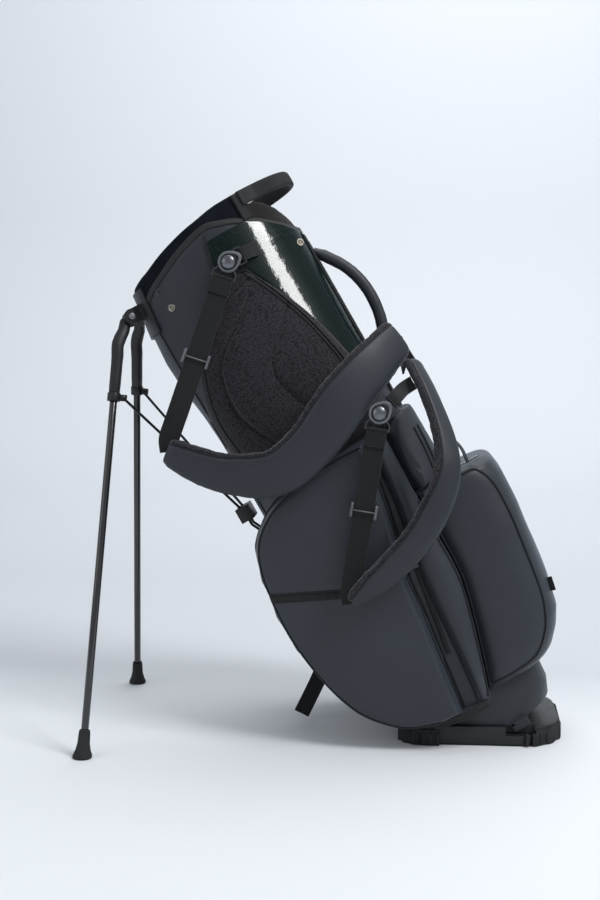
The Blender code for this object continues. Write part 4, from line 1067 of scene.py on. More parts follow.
# The lines down the gusset: where the garment pocket ends, the seam beside its zip, the ball pocket's edge.
EDGE_LINE = [(0.000, 0.066), (0.006, 0.108), (0.013, 0.165), (0.022, 0.229), (0.028, 0.286), (0.043, 0.346)]
EDGE_LINE += [(0.053, 0.392), (0.06, 0.431), (0.068, 0.482)]
ZIP_SEAM = [(0.023, 0.066), (0.028, 0.103), (0.033, 0.154), (0.039, 0.228), (0.045, 0.285), (0.057, 0.347)]
ZIP_SEAM += [(0.064, 0.392), (0.068, 0.431), (0.072, 0.482)]
BALL_SEAM = [(0.038, 0.063), (0.05, 0.099), (0.061, 0.136), (0.072, 0.174), (0.082, 0.211), (0.088, 0.241)]
BALL_SEAM += [(0.09, 0.272), (0.09, 0.301), (0.091, 0.34), (0.092, 0.374), (0.093, 0.44), (0.094, 0.482)]
STRIP_OUT = [(0.124, 0.15), (0.128, 0.3)]  # (how far out, w) of the strip under the zip
ROLL = 0.0125  # how much further the gusset's roll stands out
BALL_EDGE = [(0.056, 0.075), (0.09, 0.075), (0.132, 0.081), (0.16, 0.104), (0.176, 0.132), (0.186, 0.165)]
BALL_EDGE += [(0.196, 0.231), (0.203, 0.29), (0.203, 0.34), (0.19, 0.37), (0.165, 0.374)]


def moved(line, shift):
    """A (u, w) line moved towards the spine."""
    return [(u + shift, w) for u, w in line]


def across_at(line, w):
    return np.interp(w, [place[1] for place in line], [place[0] for place in line])


def garment_pocket(side_name):
    """The long side pocket: a crowned face with a rounded rim, standing off the body."""
    side = SIDES[side_name]
    rim = rim_of(GARMENT_ROWS)

    def place(level, s):
        w, low_u, high_u = level
        u = low_u + (high_u - low_u) * s
        inset = line_distance(rim, u, w)
        face = POCKET_FACE + 0.006 * s + POCKET_CROWN * fillet(inset, 0.09)
        depth = POCKET_BACK + (face - POCKET_BACK) * fillet(inset, POCKET_RIM)
        return Vector((u, side * depth, w)), Vector((u, side * POCKET_BACK, w))

    node = f"garment_pocket_{side_name}"
    made = soft_panel(f"{node}_soft", smooth(GARMENT_ROWS, 110), crowded(84), place, node)
    swell(made, 0.003)
    ripple(made, 0.1, 0.0022, 3.1 * side)
    slot_line = Skin(made).trace(SLOT, 120, -0.001, side, 0.15)[0]
    crease(made, [slot_line], 0.0022, 0.004)
    garment_trims(made, side_name)


def inset_line(rows, inset, first=0, last=None):
    """The leg-side edge, top and gusset-side edge of a panel, moved inwards."""
    fine = smooth(rows, 60)
    middle_u = sum(low + high for _, low, high in fine) / 120
    middle = Vector((middle_u, 0, (fine[0][0] + fine[-1][0]) / 2))
    edge = [(low, w) for w, low, _ in fine]
    top_w, low, high = fine[-1]
    edge += [(low + (high - low) * t, top_w + 0.0015 * math.sin(math.pi * t)) for t in spread(0.1, 0.9, 9)]
    edge = edge[first:last]
    found = []
    for i, (u, w) in enumerate(edge):
        ahead = Vector(edge[min(i + 1, len(edge) - 1)]) - Vector(edge[max(i - 1, 0)])
        square = Vector((ahead.y, -ahead.x)).normalized()
        if square.dot(Vector((middle.x - u, middle.z - w))) < 0:
            square = -square
        found.append((u + square.x * inset, w + square.y * inset))
    return found


def garment_trims(made, side_name):
    """Piping where the pocket's face meets its side, rows of stitches inside it, and the slip pocket."""
    side = SIDES[side_name]
    surface = Skin(made)
    piping = Build()
    ray = {"side": side, "guess": 0.14}
    piping.pipe(surface, inset_line(GARMENT_ROWS, 0.0085), 220, PIPING, **ray)
    edge = moved(EDGE_LINE, -0.0042 if side_name == "near" else -0.0125)
    piping.pipe(surface, edge, 130, PIPING * 0.85, **ray)
    piping.make(f"garment_piping_{side_name}", "piping")
    threads = Build()
    threads.sew(surface, inset_line(GARMENT_ROWS, 0.0135, 4), 200, **ray)
    threads.sew(surface, moved(edge[:-1], -0.005), 120, **ray)
    threads.make(f"garment_stitches_{side_name}", "thread")
    lip = Build()
    lip.pipe(surface, SLOT, 80, 0.0012, lift=0.001, side=side, guess=0.15)
    lip.make(f"slot_lip_{side_name}", "piping")
    path, normals = surface.trace([(u - 0.0025, w - 0.0068) for u, w in SLOT], 70, 0.0003, side, 0.15)
    profile = [(-0.0055, 0.0), (-0.0052, 0.0005), (0.0052, 0.0005), (0.0055, 0.0), (0.0052, -0.0005)]
    profile.append((-0.0052, -0.0005))
    lofted(f"slot_binding_{side_name}", swept(path, normals, profile), "slot")


def side_gusset():
    """The strip that carries the garment pocket's zip, and the padded roll beside it."""

    def place(w, t):
        edge, seam, ball = (across_at(line, w) for line in (EDGE_LINE, ZIP_SEAM, BALL_SEAM))
        out = across_at(STRIP_OUT, w)
        if t <= 0:
            point = Vector((edge - 0.008 + (seam - edge + 0.008) * (t + 1), -out, w))
        else:
            low = min(1.0, (w - 0.05) / 0.05)
            rise = ROLL * low * math.sin(math.pi * min(1, t * 0.92 + 0.02)) ** 0.7
            point = Vector((seam + (ball + 0.004 - seam) * t, -out - rise + 0.012 * t**3, w))
        return point, Vector((point.x, -0.0985, w))

    columns = spread(-1, 0, 12) + spread(0, 1, 30)[1:]  # the strip up to 0, the roll beyond it
    made = soft_panel("side_gusset_soft", spread(0.06, 0.488, 110), columns, place, "side_gusset")
    swell(made, 0.0015)
    ripple(made, 0.07, 0.0009, 5.5)
    surface = Skin(made)
    piping = Build()
    for line in (moved(EDGE_LINE, 0.0008), ZIP_SEAM, moved(ZIP_SEAM[:-2], 0.007)):
        piping.pipe(surface, line, 130, PIPING * 0.85)
    piping.make("gusset_piping", "piping")
    return made


# (how far out, w) of the ball pocket's spine side.
BALL_OUT = [(0.15, 0.066), (0.166, 0.08), (0.182, 0.098), (0.191, 0.112), (0.197, 0.122), (0.205, 0.165)]
BALL_OUT += [(0.214, 0.225), (0.221, 0.29), (0.224, 0.345), (0.219, 0.3775)]
BALL_HALF = 0.1135  # half its width
BALL_ROUNDING = 0.013  # radius of its edges


def rounded_end(w, inwards):
    """(w, inset) levels over the rounded edge at the ball pocket's bottom or top."""
    radius = BALL_ROUNDING
    turns = spread(0, math.pi / 2, 6)
    return [(w + inwards * radius * (1 - math.sin(t)), radius * (1 - math.cos(t))) for t in turns]


def ball_pocket():
    """The big boxy pocket round the spine side, with rounded edges and a level top for its zip."""
    bottom, top = BALL_OUT[0][1], BALL_OUT[-1][1]
    levels = [(bottom, 0.05), (bottom, 0.03)] + rounded_end(bottom, 1)[::-1]
    levels += [(w, 0.0) for w in spread(bottom + 2 * BALL_ROUNDING, top - 2 * BALL_ROUNDING, 56)]
    levels += rounded_end(top, -1) + [(top, 0.03), (top, 0.05)]

    def place(level, t):
        w, inset = level
        seam = across_at(BALL_SEAM, w)
        reach_out = across_at(BALL_OUT, w) - seam
        u, v = superellipse(reach_out - inset, BALL_HALF - inset, t * math.pi / 2, 4.2)
        tuck = 0.01 * (1 - fillet(1 - abs(t), 0.05))
        outer = Vector((seam + u, v - math.copysign(tuck, v), w))
        return outer, skin(t * angle_at(seam, w, 1), w, -0.0025)

    made = soft_panel("ball_pocket_soft", levels, spread(-1, 1, 96), place, "ball_pocket")
    swell(made, 0.002)
    ripple(made, 0.08, 0.002, 7.3)
    for side in SIDES.values():
        crease(made, [Skin(made).trace(BALL_EDGE, 140, 0, side, 0.13)[0]], 0.001, 0.0036)
    return made


def ball_trims(pocket, gusset):
    """Piping round the ball pocket's faces, and its seam beside the gusset."""
    surface = Skin(pocket)
    piping, threads = Build(), Build()
    for side in SIDES.values():
        piping.pipe(surface, BALL_EDGE, 150, PIPING, side=side)
        threads.sew(surface, moved(BALL_EDGE[4:], -0.007), 120, side=side)
    both = Skin(pocket, gusset)
    for shift in (0.001, 0.0072):
        piping.pipe(both, moved(BALL_SEAM[:-2], shift), 130, PIPING * 0.9)
    piping.make("ball_piping", "piping")
    threads.make("ball_stitches", "thread")


def accessory_pocket():
    """The slim upper pocket on the body beside the strap, with a piped edge each side."""
    rows = [Vector(row) for row in ((0.3835, 0.09, 0.1305), (0.43, 0.0895, 0.1305), (0.47, 0.0915, 0.1305))]
    rows += [Vector((0.494, 0.1, 0.1302)), Vector((0.505, 0.114, 0.1285))]
    rim = rim_of(rows)

    def height(s, t, u, w):
        inset = line_distance(rim, u, w)
        return 0.004 + 0.02 * fillet(inset, 0.0055) + 0.003 * fillet(inset, 0.03)

    name, node = "accessory_soft", "accessory_pocket"
    made = on_body(name, rows, 0.0026, height, 70, 80, "pocket", node, COATED)
    swell(made, 0.002)
    surface = Skin(made)
    piping = Build()
    edges = [[(0.098, 0.39), (0.0975, 0.43), (0.099, 0.466), (0.107, 0.488), (0.124, 0.499)]]
    for shift in (0.0, 0.006):
        edges.append(moved([(0.134, 0.388), (0.139, 0.43), (0.141, 0.47)], shift))
    for edge in edges:
        piping.pipe(surface, edge, 90, PIPING * 0.9)
    piping.make("accessory_piping", "piping")


# ---- zips ---------------------------------------------------------------------------------


def zip_teeth(name, chain, along, out, tape_width, tooth, look):
    """Interlocked coil teeth on a woven tape, along the CAD chain's middle line."""
    points = node_points(chain)
    middle = Vector(points.mean(axis=0))
    reaches = (points - np.array(middle)) @ np.array(along)
    start, end = middle + along * reaches.min(), middle + along * reaches.max()
    out, wide = across(along, out)
    profile = [(-tape_width, -0.0002), (-tape_width, 0.0002), (tape_width, 0.0002), (tape_width, -0.0002)]
    path = [start.lerp(end, t) - out * 0.001 for t in spread(0, 1, 24)]
    lofted(f"{name}_tape", swept(path, out, profile), "slot", slot="webbing")
    teeth = Build()
    pitch = 2.5 * tooth
    for i in range(int((end - start).length / pitch)):
        side = 1 if i % 2 else -1
        base = start + along * (i + 0.5) * pitch - out * 0.0002
        root, tip = base + wide * side * 0.0028, base - wide * side * 0.0004
        teeth.tube([root, root.lerp(tip, 0.5) + out * 0.0003, tip], tooth, 6)
    teeth.make(f"{name}_teeth", look, replaces=[chain])


def zips():
    """A dark coil zip beside the garment pocket, and bright teeth along the ball pocket's top."""
    for name, out, width, tooth, look in (
        ("garment_zip", NEAR, 0.0034, 0.00068, "fitting"),
        ("ball_zip", Vector((0, 0, 1)), 0.0065, 0.00105, "silver"),
    ):
        axis = TO_BAG.to_3x3() @ Vector(JOINTS[f"{name}_slide"]["axis"])
        zip_teeth(name, f"{name}_chain", axis.normalized(), out, width, tooth, look)


# ---- shoulder strap -----------------------------------------------------------------------

UPPER_PAD = [(-0.186, -0.182, 0.624), (-0.155, -0.188, 0.583), (-0.12, -0.188, 0.549)]
UPPER_PAD += [(-0.062, -0.188, 0.519), (0.004, -0.188, 0.528), (0.076, -0.182, 0.56)]
UPPER_PAD += [(0.138, -0.158, 0.583), (0.19, -0.114, 0.6)]
UPPER_HALF = [0.021, 0.027, 0.031, 0.035, 0.037, 0.038, 0.04, 0.04, 0.038, 0.034, 0.03]
LOWER_PAD = [(0.188, -0.122, 0.56), (0.186, -0.15, 0.505), (0.174, -0.182, 0.436)]
LOWER_PAD += [(0.149, -0.2, 0.39), (0.087, -0.208, 0.344), (0.02, -0.206, 0.318)]
LOWER_PAD += [(-0.058, -0.198, 0.3)]
LOWER_HALF = [0.019, 0.02, 0.02, 0.021, 0.022, 0.024, 0.025, 0.025, 0.025, 0.022, 0.0125]


def upper_facing(t):
    """Which way the upper pad's outside faces along it: near, turning to the spine at its end."""
    return Vector((max(0.0, 2.2 * (t - 0.62)), -1, -0.12))


def lower_facing(t):
    return Vector((max(-0.1, 1.9 - 3.5 * t), -1, -0.3))


def pad_profile(half, thick):
    """Cross-section of a pad: a low dome outside, rounded sides and a flatter padded back."""
    points = []
    for k in range(40):
        x, y = superellipse(half, thick, 2 * math.pi * (k + 0.5) / 40, 3.0)
        crown = 0.0022 if y > 0 else -0.0006
        points.append((x, y + crown * (1 - (x / half) ** 2)))
    return points


def shoulder_pad(name, node, route, halves, facing, thick, mesh_side, tip):
    """A foam pad: coated outside, mesh back, and the mesh rolled round one edge in a bound seam."""
    count = 121
    path = smooth(route, count)
    faces_to = [facing(i / (count - 1)) for i in range(count)]
    half = np.interp(np.linspace(0, 1, count), np.linspace(0, 1, len(halves)), halves)
    for i in range(count):
        from_end = min(i, count - 1 - i) / (count - 1)
        half[i] *= min(1, 0.82 + 0.18 * (from_end / 0.022) ** 0.5)
    profiles = [pad_profile(half[i] - 0.0012, thick - 0.0016) for i in range(count)]
    for end, shrink in ((0, 0.55), (1, 0.86), (-2, 0.86), (-1, 0.55)):
        profiles[end] = [(x * (0.94 + 0.06 * shrink), y * shrink) for x, y in profiles[end]]
    looks = ["leatherette", "air_mesh"]
    made = lofted(name, swept(path, faces_to, profiles), looks, replaces=[node], slot=COATED)
    swell(made, 0.0016, 3.0)
    refine(made)
    for polygon in made.data.polygons:
        index, wide, outward = nearest_on(path, faces_to, TO_BAG @ polygon.center)
        wrapped = wide * mesh_side > half[index] - 0.0075
        polygon.material_index = 1 if outward < 0.0008 or wrapped else 0
    crinkle(made, path, faces_to, mesh_side, half)
    pad_trims(name, made, path, faces_to, half, mesh_side, tip)


def nearest_on(path, faces_to, place):
    """The nearest point's number on a path, and how far across and outward a place lies from it."""
    index = min(range(len(path)), key=lambda i: (path[i] - place).length_squared)
    out, wide = across(heading(path, index), faces_to[index])
    offset = place - path[index]
    return index, offset.dot(wide), offset.dot(out)


def crinkle(made, path, faces_to, mesh_side, half):
    """Puckers the mesh where it is gathered into the seam, and sinks the seam itself."""

    def pucker(place):
        index, wide, outward = nearest_on(path, faces_to, TO_BAG @ place)
        from_seam = wide * mesh_side - (half[index] - 0.0075)
        moved_by = 0.0
        if outward < 0.0008 or from_seam > 0:
            wave = noise.noise(place * 95) + 0.5 * noise.noise(place * 210)
            moved_by += 0.001 * wave + (0.001 if from_seam > 0.002 else 0)
        if outward > 0 and abs(from_seam) < 0.004:
            moved_by -= 0.0014 * math.exp(-((from_seam / 0.0016) ** 2))
        return moved_by

    push(made, pucker)


def pad_trims(name, made, path, faces_to, half, mesh_side, tip):
    """Piping where the outside meets the mesh, a row of stitches beside it, and a sewn tip."""
    piping, threads = Build(), Build()
    surface = Skin(made)
    plain_side = []
    rows = {"seam": [], "seam_stitch": [], "edge_stitch": []}
    insets = {"seam": (mesh_side, 0.0078), "seam_stitch": (mesh_side, 0.0125)}
    insets["edge_stitch"] = (-mesh_side, 0.008)
    for i in range(2, len(path) - 2):
        out, wide = across(heading(path, i), faces_to[i])
        for key, (side, inset) in insets.items():
            rows[key].append(surface.onto(path[i] + wide * side * (half[i] - inset), -out, 0.0003))
        start = path[i] - wide * mesh_side * half[i] + out * 0.0004
        plain_side.append(surface.onto(start, wide * mesh_side, 0.0003)[0])
    piping.tube([place for place, _ in rows["seam"]], 0.0011)
    piping.tube(plain_side, 0.0012)
    piping.make(f"{name}_piping", "piping")
    rows["tip"] = tip_box(path, faces_to, half, surface, *tip)
    for key in ("seam_stitch", "edge_stitch", "tip"):
        threads.stitches(*zip(*rows[key]))
    threads.make(f"{name}_stitches", "thread")


def tip_box(path, faces_to, half, surface, first, last):
    """A sewn square on a pad's tip, laid on its outside."""
    corners = []
    for index, side in ((first, -1), (first, 1), (last, 1), (last, -1), (first, -1)):
        out, wide = across(heading(path, index), faces_to[index])
        corners.append((path[index] + wide * side * (half[index] - 0.008), out))
    found = []
    for (start, out), (end, _) in zip(corners, corners[1:]):
        for t in spread(0, 1, 14):
            found.append(surface.onto(start.lerp(end, t), -out, 0.0003))
    return found


CONNECTOR = {name: TO_BAG @ Vector(JOINTS[f"dome_{name}_swivel"]["pos_m"]) for name in ("upper", "lower")}
STIRRUP = 0.0245  # from a connector's middle to the bar its webbing loops round
LOOP = 0.0026  # how far that loop stands off the bar's middle
WEB_WIDTH = {"upper": 0.031, "lower": 0.03}
WEB_END = {"upper": Vector((-0.14, -0.1715, 0.668)), "lower": Vector((-0.05, -0.1885, 0.317))}
WEB_TAIL = {
    "upper": [(-0.16, -0.1722, 0.651), (-0.175, -0.1728, 0.637), (-0.183, -0.1728, 0.62)],
    "lower": [(-0.056, -0.189, 0.305), (-0.06, -0.1895, 0.296)],
}


def loop_round(build, bar, along, out, radius, width):
    """Webbing bent round a bar."""
    turns = spread(math.radians(-150), math.radians(150), 18)
    loop = [bar - along * radius * math.cos(t) + out * radius * math.sin(t) for t in turns]
    outward = [(point - bar).normalized() for point in loop]
    build.loft(swept(loop, outward, strap_profile(width, 0.0012)))


def strap_webbing():
    """Each strap: doubled webbing round its connector's bar, sewn back on itself, down to the pad."""
    threads = Build()
    for name, end in WEB_END.items():
        along = (end - CONNECTOR[name]).normalized()
        bar = CONNECTOR[name] + along * STIRRUP
        out, wide = across(along, NEAR)
        route = [bar + along * LOOP, bar.lerp(end, 0.5), end] + [Vector(place) for place in WEB_TAIL[name]]
        path = smooth(route, 90)
        width = WEB_WIDTH[name]
        build = Build()
        build.loft(swept(path, out, strap_profile(width, 0.002)))
        loop_round(build, bar, along, out, LOOP, width)
        lap = [bar + along * d + out * 0.0022 for d in spread(0.003, 0.026, 12)]
        build.loft(swept(lap, out, strap_profile(width, 0.0012)))
        build.make(f"webbing_{name}_strap", "webbing", replaces=[f"webbing_{name}"], slot="webbing")
        for distance in (0.0235, 0.02):
            row = [bar + along * distance + out * 0.003 + wide * x for x in spread(-0.0125, 0.0125, 12)]
            threads.stitches(row, [out] * 12, 0.0026)
    threads.make("webbing_stitches", "thread")


TAB_STIRRUP = 0.0235  # and to the bar on its other side, for the tab
TAB_LOOP = 0.0024
TAB_WIDTH = 0.021
TAB_TOWARDS = {"upper": Vector((1, 0, -0.02)), "lower": Vector((0.966, 0, 0.259))}
TABS = {
    "upper": [(0.062, -0.127, 0.818), (0.074, -0.113, 0.817)],
    "lower": [(0.1465, -0.174, 0.5273), (0.158, -0.152, 0.53), (0.174, -0.129, 0.53)],
}


def strap_tabs():
    """The short tabs that hold the connectors to the bag."""
    for name, rest in TABS.items():
        towards = TAB_TOWARDS[name].normalized()
        bar = CONNECTOR[name] + towards * TAB_STIRRUP
        route = [bar + towards * TAB_LOOP] + [Vector(place) for place in rest]
        path = smooth(route, 30)
        build = Build()
        build.loft(swept(path, NEAR, strap_profile(TAB_WIDTH, 0.002)))
        loop_round(build, bar, towards, across(towards, NEAR)[0], TAB_LOOP, TAB_WIDTH)
        build.make(f"strap_tab_{name}_web", "webbing", replaces=[f"strap_tab_{name}"], slot="webbing")


def connectors():
    """A flat teardrop bezel round each dome, drawn out towards its tab, and the satin dome itself."""
    for name, place in CONNECTOR.items():
        towards = TAB_TOWARDS[name].normalized()
        side = NEAR.cross(towards)
        outline = []
        for t in full_turn(48):
            drawn_out = 1 + 0.36 * max(0.0, math.cos(t)) ** 3
            outline.append(0.016 * (drawn_out * math.cos(t) * towards + math.sin(t) * side))
        section = [(0.97, 0.0006), (1.0, 0.002), (0.985, 0.0034), (0.94, 0.0043), (0.82, 0.0047)]
        section += [(0.75, 0.004), (0.74, 0.0008)]
        rings = [[place + point * scale + NEAR * lift for point in outline] for scale, lift in section]
        lofted(f"connector_bezel_{name}", rings, "grey_plastic", closed=True, slot="grey_metal")
        arc = spread(0, 0.97 * math.pi / 2, 14)
        section = [(0.0112 * math.cos(t), 0.0022 + 0.0066 * math.sin(t)) for t in arc]
        dome = Build()
        dome.loft(lathe(place, NEAR, towards, side, section))
        dome.make(f"dome_{name}_satin", "dome", f"dome_{name}", [f"connector_dome_{name}"], "grey_metal")


def adjusters():
    """Slim slides: a light side plate at each edge of the webbing, a bar over it and two under it."""
    for name in ("upper", "lower"):
        joint = JOINTS[f"adjuster_{name}_slide"]
        along = (TO_BAG.to_3x3() @ Vector(joint["axis"])).normalized()
        middle = middle_of(f"adjuster_{name}")
        out, wide = across(along, NEAR)
        half = WEB_WIDTH[name] / 2 + 0.0027
        build = Build()
        for side in (-1, 1):
            rings = []
            for d in spread(-0.0105, 0.0105, 15):
                slim = fillet(0.0108 - abs(d), 0.004)
                centre = middle + wide * side * half + along * d + out * 0.0006
                plate = [superellipse(0.0021, 0.0038 * slim + 0.0004, turn, 3) for turn in full_turn(12)]
                rings.append([centre + wide * x + out * y for x, y in plate])
            build.loft(rings)
        ends = (middle - wide * half, middle + wide * half)
        for d, lift, radius in ((0.0, 0.0042, 0.002), (-0.008, -0.0036, 0.0011), (0.008, -0.0036, 0.0011)):
            build.tube([end + along * d + out * lift for end in ends], radius, 10)
        build.make(f"adjuster_{name}_slide", "grey_plastic", f"adjuster_{name}", [f"adjuster_{name}"])


def snaps():
    """Ring snaps through the cover: a rolled rim, a sunken eye and a small post."""
    for node, lift in (("rivet_leg_side", 0.0012), ("rivet_spine_side", 0.0034)):
        snap(f"{node}_ring", middle_of(node), 0.92, lift, "snap", [node])
    dark = skin(angle_at(-0.088, 0.837), 0.837, CUFF)
    snap("dark_snap", dark, 0.85, 0.0012, "fitting", [])


def snap(name, place, size, lift_off, look, replaces):
    outward = Vector((0.25 * place.x, place.y, 0)).normalized()
    first, second = across(outward, Vector((1, 0, 0)))
    section = [(0.0066, -0.001), (0.0066, 0.0004), (0.006, 0.0013), (0.0049, 0.0016), (0.0038, 0.0011)]
    section += [(0.0034, -0.0004), (0.0017, -0.0006), (0.0015, 0.0007), (0.0008, 0.0011), (0.0001, 0.0012)]
    foot = skin(angle_of(*place), place.z, COVER + lift_off)
    sized = [(radius * size, lift * size) for radius, lift in section]
    rings = lathe(foot, outward, first, second, sized, 32)
    lofted(name, rings, look, replaces=replaces, slot="silver_metal")


# ---- spine, loops and free webbing --------------------------------------------------------


def spine_parts():
    """Webbing down the spine with a sewn edge, and the rolled grab handle."""
    points = node_points("spine_strip")
    heights = spread(points[:, 2].min(), points[:, 2].max(), 60)
    path = [skin(0, w, COVER + 0.0016) for w in heights]
    outward = Vector((1, 0, 0))
    ribbon("spine_webbing", path, outward, 0.036, 0.0026, "webbing", ["spine_strip"])
    start = skin(0, 0.7)[0] + 0.0052
    route = [(start - 0.001, 0, 0.78), (0.152, 0, 0.76), (0.168, 0, 0.735), (0.1785, 0, 0.705)]
    route += [(0.1815, 0, 0.672), (0.176, 0, 0.634), (0.16, 0, 0.603), (start - 0.001, 0, 0.592)]
    path = smooth(route, 90)
    profiles = []
    for i in range(90):
        flare = max(0.0, 1 - min(i, 89 - i) / 7)
        radius = 0.0092 + 0.0004 * noise.noise(Vector((0.31 * i, 0.2, 0.7)))
        wide, deep = radius * (1 + 0.25 * flare), radius * (1 - 0.45 * flare)
        profiles.append([(wide * math.cos(t), deep * math.sin(t)) for t in full_turn(24)])
    rings = swept(path, Vector((1, 0, 0.01)), profiles)
    name, replaced = "spine_handle_roll", ["spine_handle"]
    handle = lofted(name, rings, "leatherette", replaces=replaced, slot=COATED)
    threads = Build()
    for side in (-1, 1):
        inner = [point - outward * 0.0062 + Vector((0, side * 0.0058, 0)) for point in path[8:-8]]
        threads.stitches(inner, [Vector((-0.6, side * 0.7, 0))] * len(inner))
    threads.make("spine_handle_stitches", "thread")


HEM = [(-0.052, -0.14, 0.066), (-0.02, -0.142, 0.062), (0.01, -0.138, 0.057), (0.036, -0.126, 0.057)]
TAB = [(0.195, -0.062, 0.158), (0.202, -0.066, 0.157), (0.2075, -0.068, 0.156)]
JUNCTION = [(0.17, -0.02, 0.56), (0.185, -0.045, 0.574), (0.191, -0.07, 0.578), (0.19, -0.088, 0.576)]
TOWEL = [(0.156, -0.072, 0.3815), (0.157, -0.073, 0.407), (0.166, -0.074, 0.429), (0.18, -0.075, 0.427)]
TOWEL += [(0.187, -0.075, 0.407), (0.185, -0.075, 0.3815)]


# Route, points along it, where it faces, width, thickness, look, CAD node and slot of each short strip:
# the band along the pockets' hem, a sewn-in tab, the webbing that joins both pads, and the towel loop.
STRIPS = {
    "hem_band": (HEM, 40, (0, -1, -0.35), 0.0125, 0.0034, "slot"),
    "side_tab": (TAB, 12, (0.2, -1, 0), 0.022, 0.0018, "webbing"),
    "strap_junction_web": (JUNCTION, 30, (1, -0.4, 0), 0.04, 0.0036, "webbing", ["strap_junction"]),
    "towel_loop_strip": (TOWEL, 50, (0.6, -0.2, 0.8), 0.01, 0.0022, "leatherette", ["towel_loop"], COATED),
}


def strip(name):
    route, count, facing, *rest = STRIPS[name]
    ribbon(name, smooth(route, count), Vector(facing), *rest)


def leg_lock_strap():
    """The free tail of webbing that ties the folded legs, hanging stiffly below the body."""
    route = [(-0.1215, 0, 0.236), (-0.158, 0, 0.216), (-0.1925, 0, 0.188), (-0.2465, 0, 0.1505)]
    path = smooth(route, 60)
    name = "leg_lock_webbing"
    made = ribbon(name, path, NEAR, 0.025, 0.002, "webbing", ["leg_lock_strap"])
    length = length_of(path)


# ---- CAD parts that stay ------------------------------------------------------------------

KEPT = {
    "moulding": ["stand_bracket", "rod_yoke", "rod_guide_upper", "rod_guide_lower"],
    "cup": ["base_cup"],
    "rubber": ["foot_sole", "leg_foot_near", "leg_foot_far"],
    "leg_paint": ["leg_tube_near", "leg_tube_far"],
    "rod_steel": ["rod_arm_near", "rod_arm_far", "push_rod", "stay_near", "stay_far", "base_hinge_rod"],
    "grey_metal": ["leg_pin_near", "leg_pin_far"],
    "fitting": ["garment_zip_slider", "strap_connector_upper", "strap_connector_lower"],
    "silver": ["ball_zip_slider"],
}
KEPT["moulding"] += ["foot_plate", "leg_head_near", "leg_head_far", "leg_collar_near", "leg_collar_far"]
EDGE = {"moulding": 0.0007, "rubber": 0.0006, "fitting": 0.0005, "silver": 0.0003, "grey_metal": 0.0003}


def dress_kept_nodes():
    """Gives each CAD part that stays its material, with fine rounded edges."""
    for look, nodes in KEPT.items():
        for node in nodes:
            obj = frame["nodes"][node]
            for slot in obj.material_slots:
                slot.material = LOOKS[look]
            modify(obj, "WELD", merge_threshold=0.00001)
            width, bend = EDGE.get(look, 0.0002), math.radians(34)
            modify(obj, "BEVEL", width=width, segments=2, limit_method="ANGLE", angle_limit=bend)
            obj.data.shade_smooth()


# ---- room, light and camera ---------------------------------------------------------------


def studio_paper(wall):
    """Pale blue-grey paper, with painted shade: a darker band on the floor behind the bag, paling again
    towards the wall.
    """
    look = Look("studio_paper", (0.74, 0.765, 0.8), 0.85)
    place = look.add("ShaderNodeTexCoord", {}).outputs["Object"]
    split = look.add("ShaderNodeSeparateXYZ", {"Vector": place})
    depth = look.add("ShaderNodeMapRange", {"From Max": wall, "Value": split.outputs["Y"]})
    pale = (0.74, 0.765, 0.795)
    look.colour(depth.outputs["Result"], pale, pale)
    ramp = look.shader.inputs["Base Color"].links[0].from_node.color_ramp
    # Painted shade: the ramp darkens the floor from about 0.3 m behind the bag and lightens it again towards
    # the wall.
    for position, painted_shade_tone in ((0.08, 0.76), (0.3, 0.76), (0.75, 0.93)):
        ramp.elements.new(position).color = (0.74 * painted_shade_tone, 0.77 * painted_shade_tone, 0.81 * painted_shade_tone, 1)
    look.grain(3.0, 2.0, 0.0002)
    return look.made


def room():
    """A pale floor that curves up into a plain wall."""
    start, bend = 3.0, 1.1
    look = studio_paper(start + bend)
    profile = [(-6.0, 0.0), (start, 0.0)]
    for i in range(1, 13):
        turn = math.radians(90 * i / 12)
        profile.append((start + bend * math.sin(turn), bend - bend * math.cos(turn)))
    profile.append((start + bend, 6.0))
    points = [(x, y, z) for y, z in profile for x in (-7, 7)]
    faces = [(2 * i, 2 * i + 1, 2 * i + 3, 2 * i + 2) for i in range(len(profile) - 1)]
    mesh = bpy.data.meshes.new("studio_sweep")
    mesh.from_pydata(points, [], faces)
    mesh.materials.append(look)
    mesh.shade_smooth()
    floor = bpy.data.objects.new("studio_sweep", mesh)
    bpy.context.scene.collection.objects.link(floor)


def softbox(name, place, target, size, power):
    lamp = bpy.data.lights.new(name, "AREA")
    lamp.shape = "RECTANGLE"
    lamp.size, lamp.size_y = size
    lamp.energy = power
    made = bpy.data.objects.new(name, lamp)
    made.location = place
    made.rotation_euler = (Vector(target) - Vector(place)).to_track_quat("-Z", "Y").to_euler()
    bpy.context.scene.collection.objects.link(made)
    return made


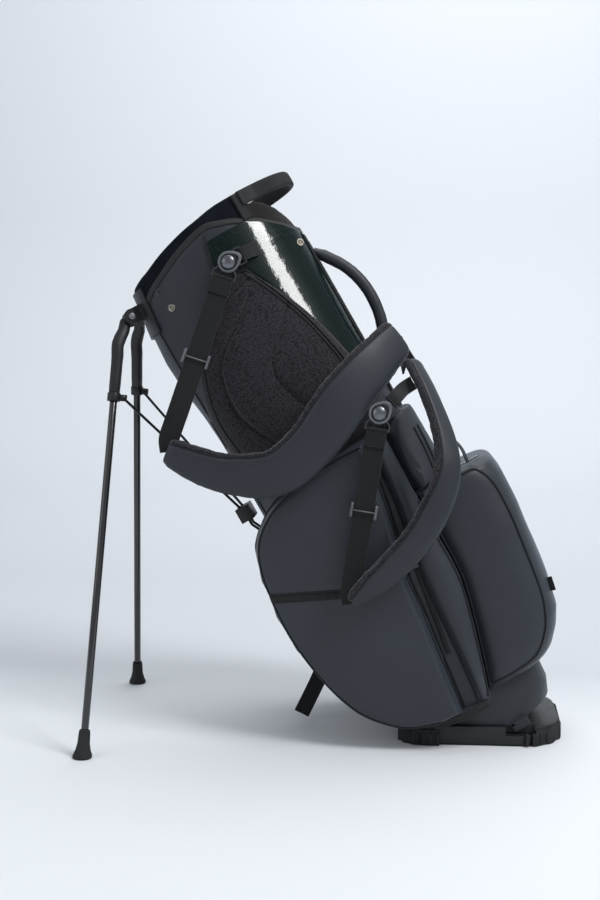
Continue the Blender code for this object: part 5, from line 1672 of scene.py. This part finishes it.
def lights(film):
    """A broad key from the upper right, a top light, a weak fill, and a panel for the film's streak."""
    low, high = cad_box
    middle = (low + high) / 2
    softbox("key_right", (1.7, -1.5, 3.0), middle, (1.2, 1.2), 78)
    softbox("top", (0.1, 0.6, 3.0), middle, (2.4, 2.0), 30)
    softbox("wall", (0.3, 1.6, 3.6), (0.2, 4.1, 1.9), (3.0, 0.5), 64)
    softbox("fill_left", (-2.4, -1.6, 1.3), middle, (1.5, 1.6), 8)
    streak = softbox("film_streak", (1.12, -1.22, 1.93), (-0.25, -0.1, 0.8), (0.7, 0.95), 130)
    shiny = bpy.data.collections.new("film_only")
    shiny.objects.link(film)
    streak.light_linking.receiver_collection = shiny
    streak.visible_diffuse = False
    world = bpy.data.worlds.new("studio")
    world.use_nodes = True
    background = world.node_tree.nodes["Background"]
    background.inputs["Color"].default_value = (0.9, 0.94, 1.0, 1)
    background.inputs["Strength"].default_value = 0.52
    bpy.context.scene.world = world
    bpy.context.scene.view_settings.view_transform = "Standard"


def camera():
    lens = bpy.data.cameras.new("camera")
    lens.lens = 56.56
    made = bpy.data.objects.new("camera", lens)
    made.location = (-0.1065, -2.2152, 0.658)
    made.rotation_euler = (math.radians(84.36), 0, math.radians(4.5))
    bpy.context.scene.collection.objects.link(made)
    bpy.context.scene.camera = made


# ---- assembly -----------------------------------------------------------------------------


def build():
    body = cover()
    inner_lining()
    cuff()
    collar_band()
    wing_bindings()
    lift_handle()
    mouth_divider()
    divider_sheets()
    hip = hip_pad()
    film = carbon_panel()
    front = Skin(body, hip, film)
    upper_piping(front)
    upper_stitches(front)
    for side_name in SIDES:
        garment_pocket(side_name)
    gusset = side_gusset()
    ball_trims(ball_pocket(), gusset)
    strip("side_tab")
    accessory_pocket()
    strip("hem_band")
    zips()
    top_edge, inner_edge = -1, 1
    upper = UPPER_PAD, UPPER_HALF, upper_facing
    lower = LOWER_PAD, LOWER_HALF, lower_facing
    shoulder_pad("upper_pad", "shoulder_pad_upper", *upper, 0.0075, top_edge, (4, 12))
    shoulder_pad("lower_pad", "shoulder_pad_lower", *lower, 0.007, inner_edge, (108, 116))
    strip("strap_junction_web")
    strap_webbing()
    strap_tabs()
    connectors()
    adjusters()
    snaps()
    spine_parts()
    strip("towel_loop_strip")
    leg_lock_strap()
    tread_ribs()
    dress_kept_nodes()
    room()
    lights(film)
    camera()


build()
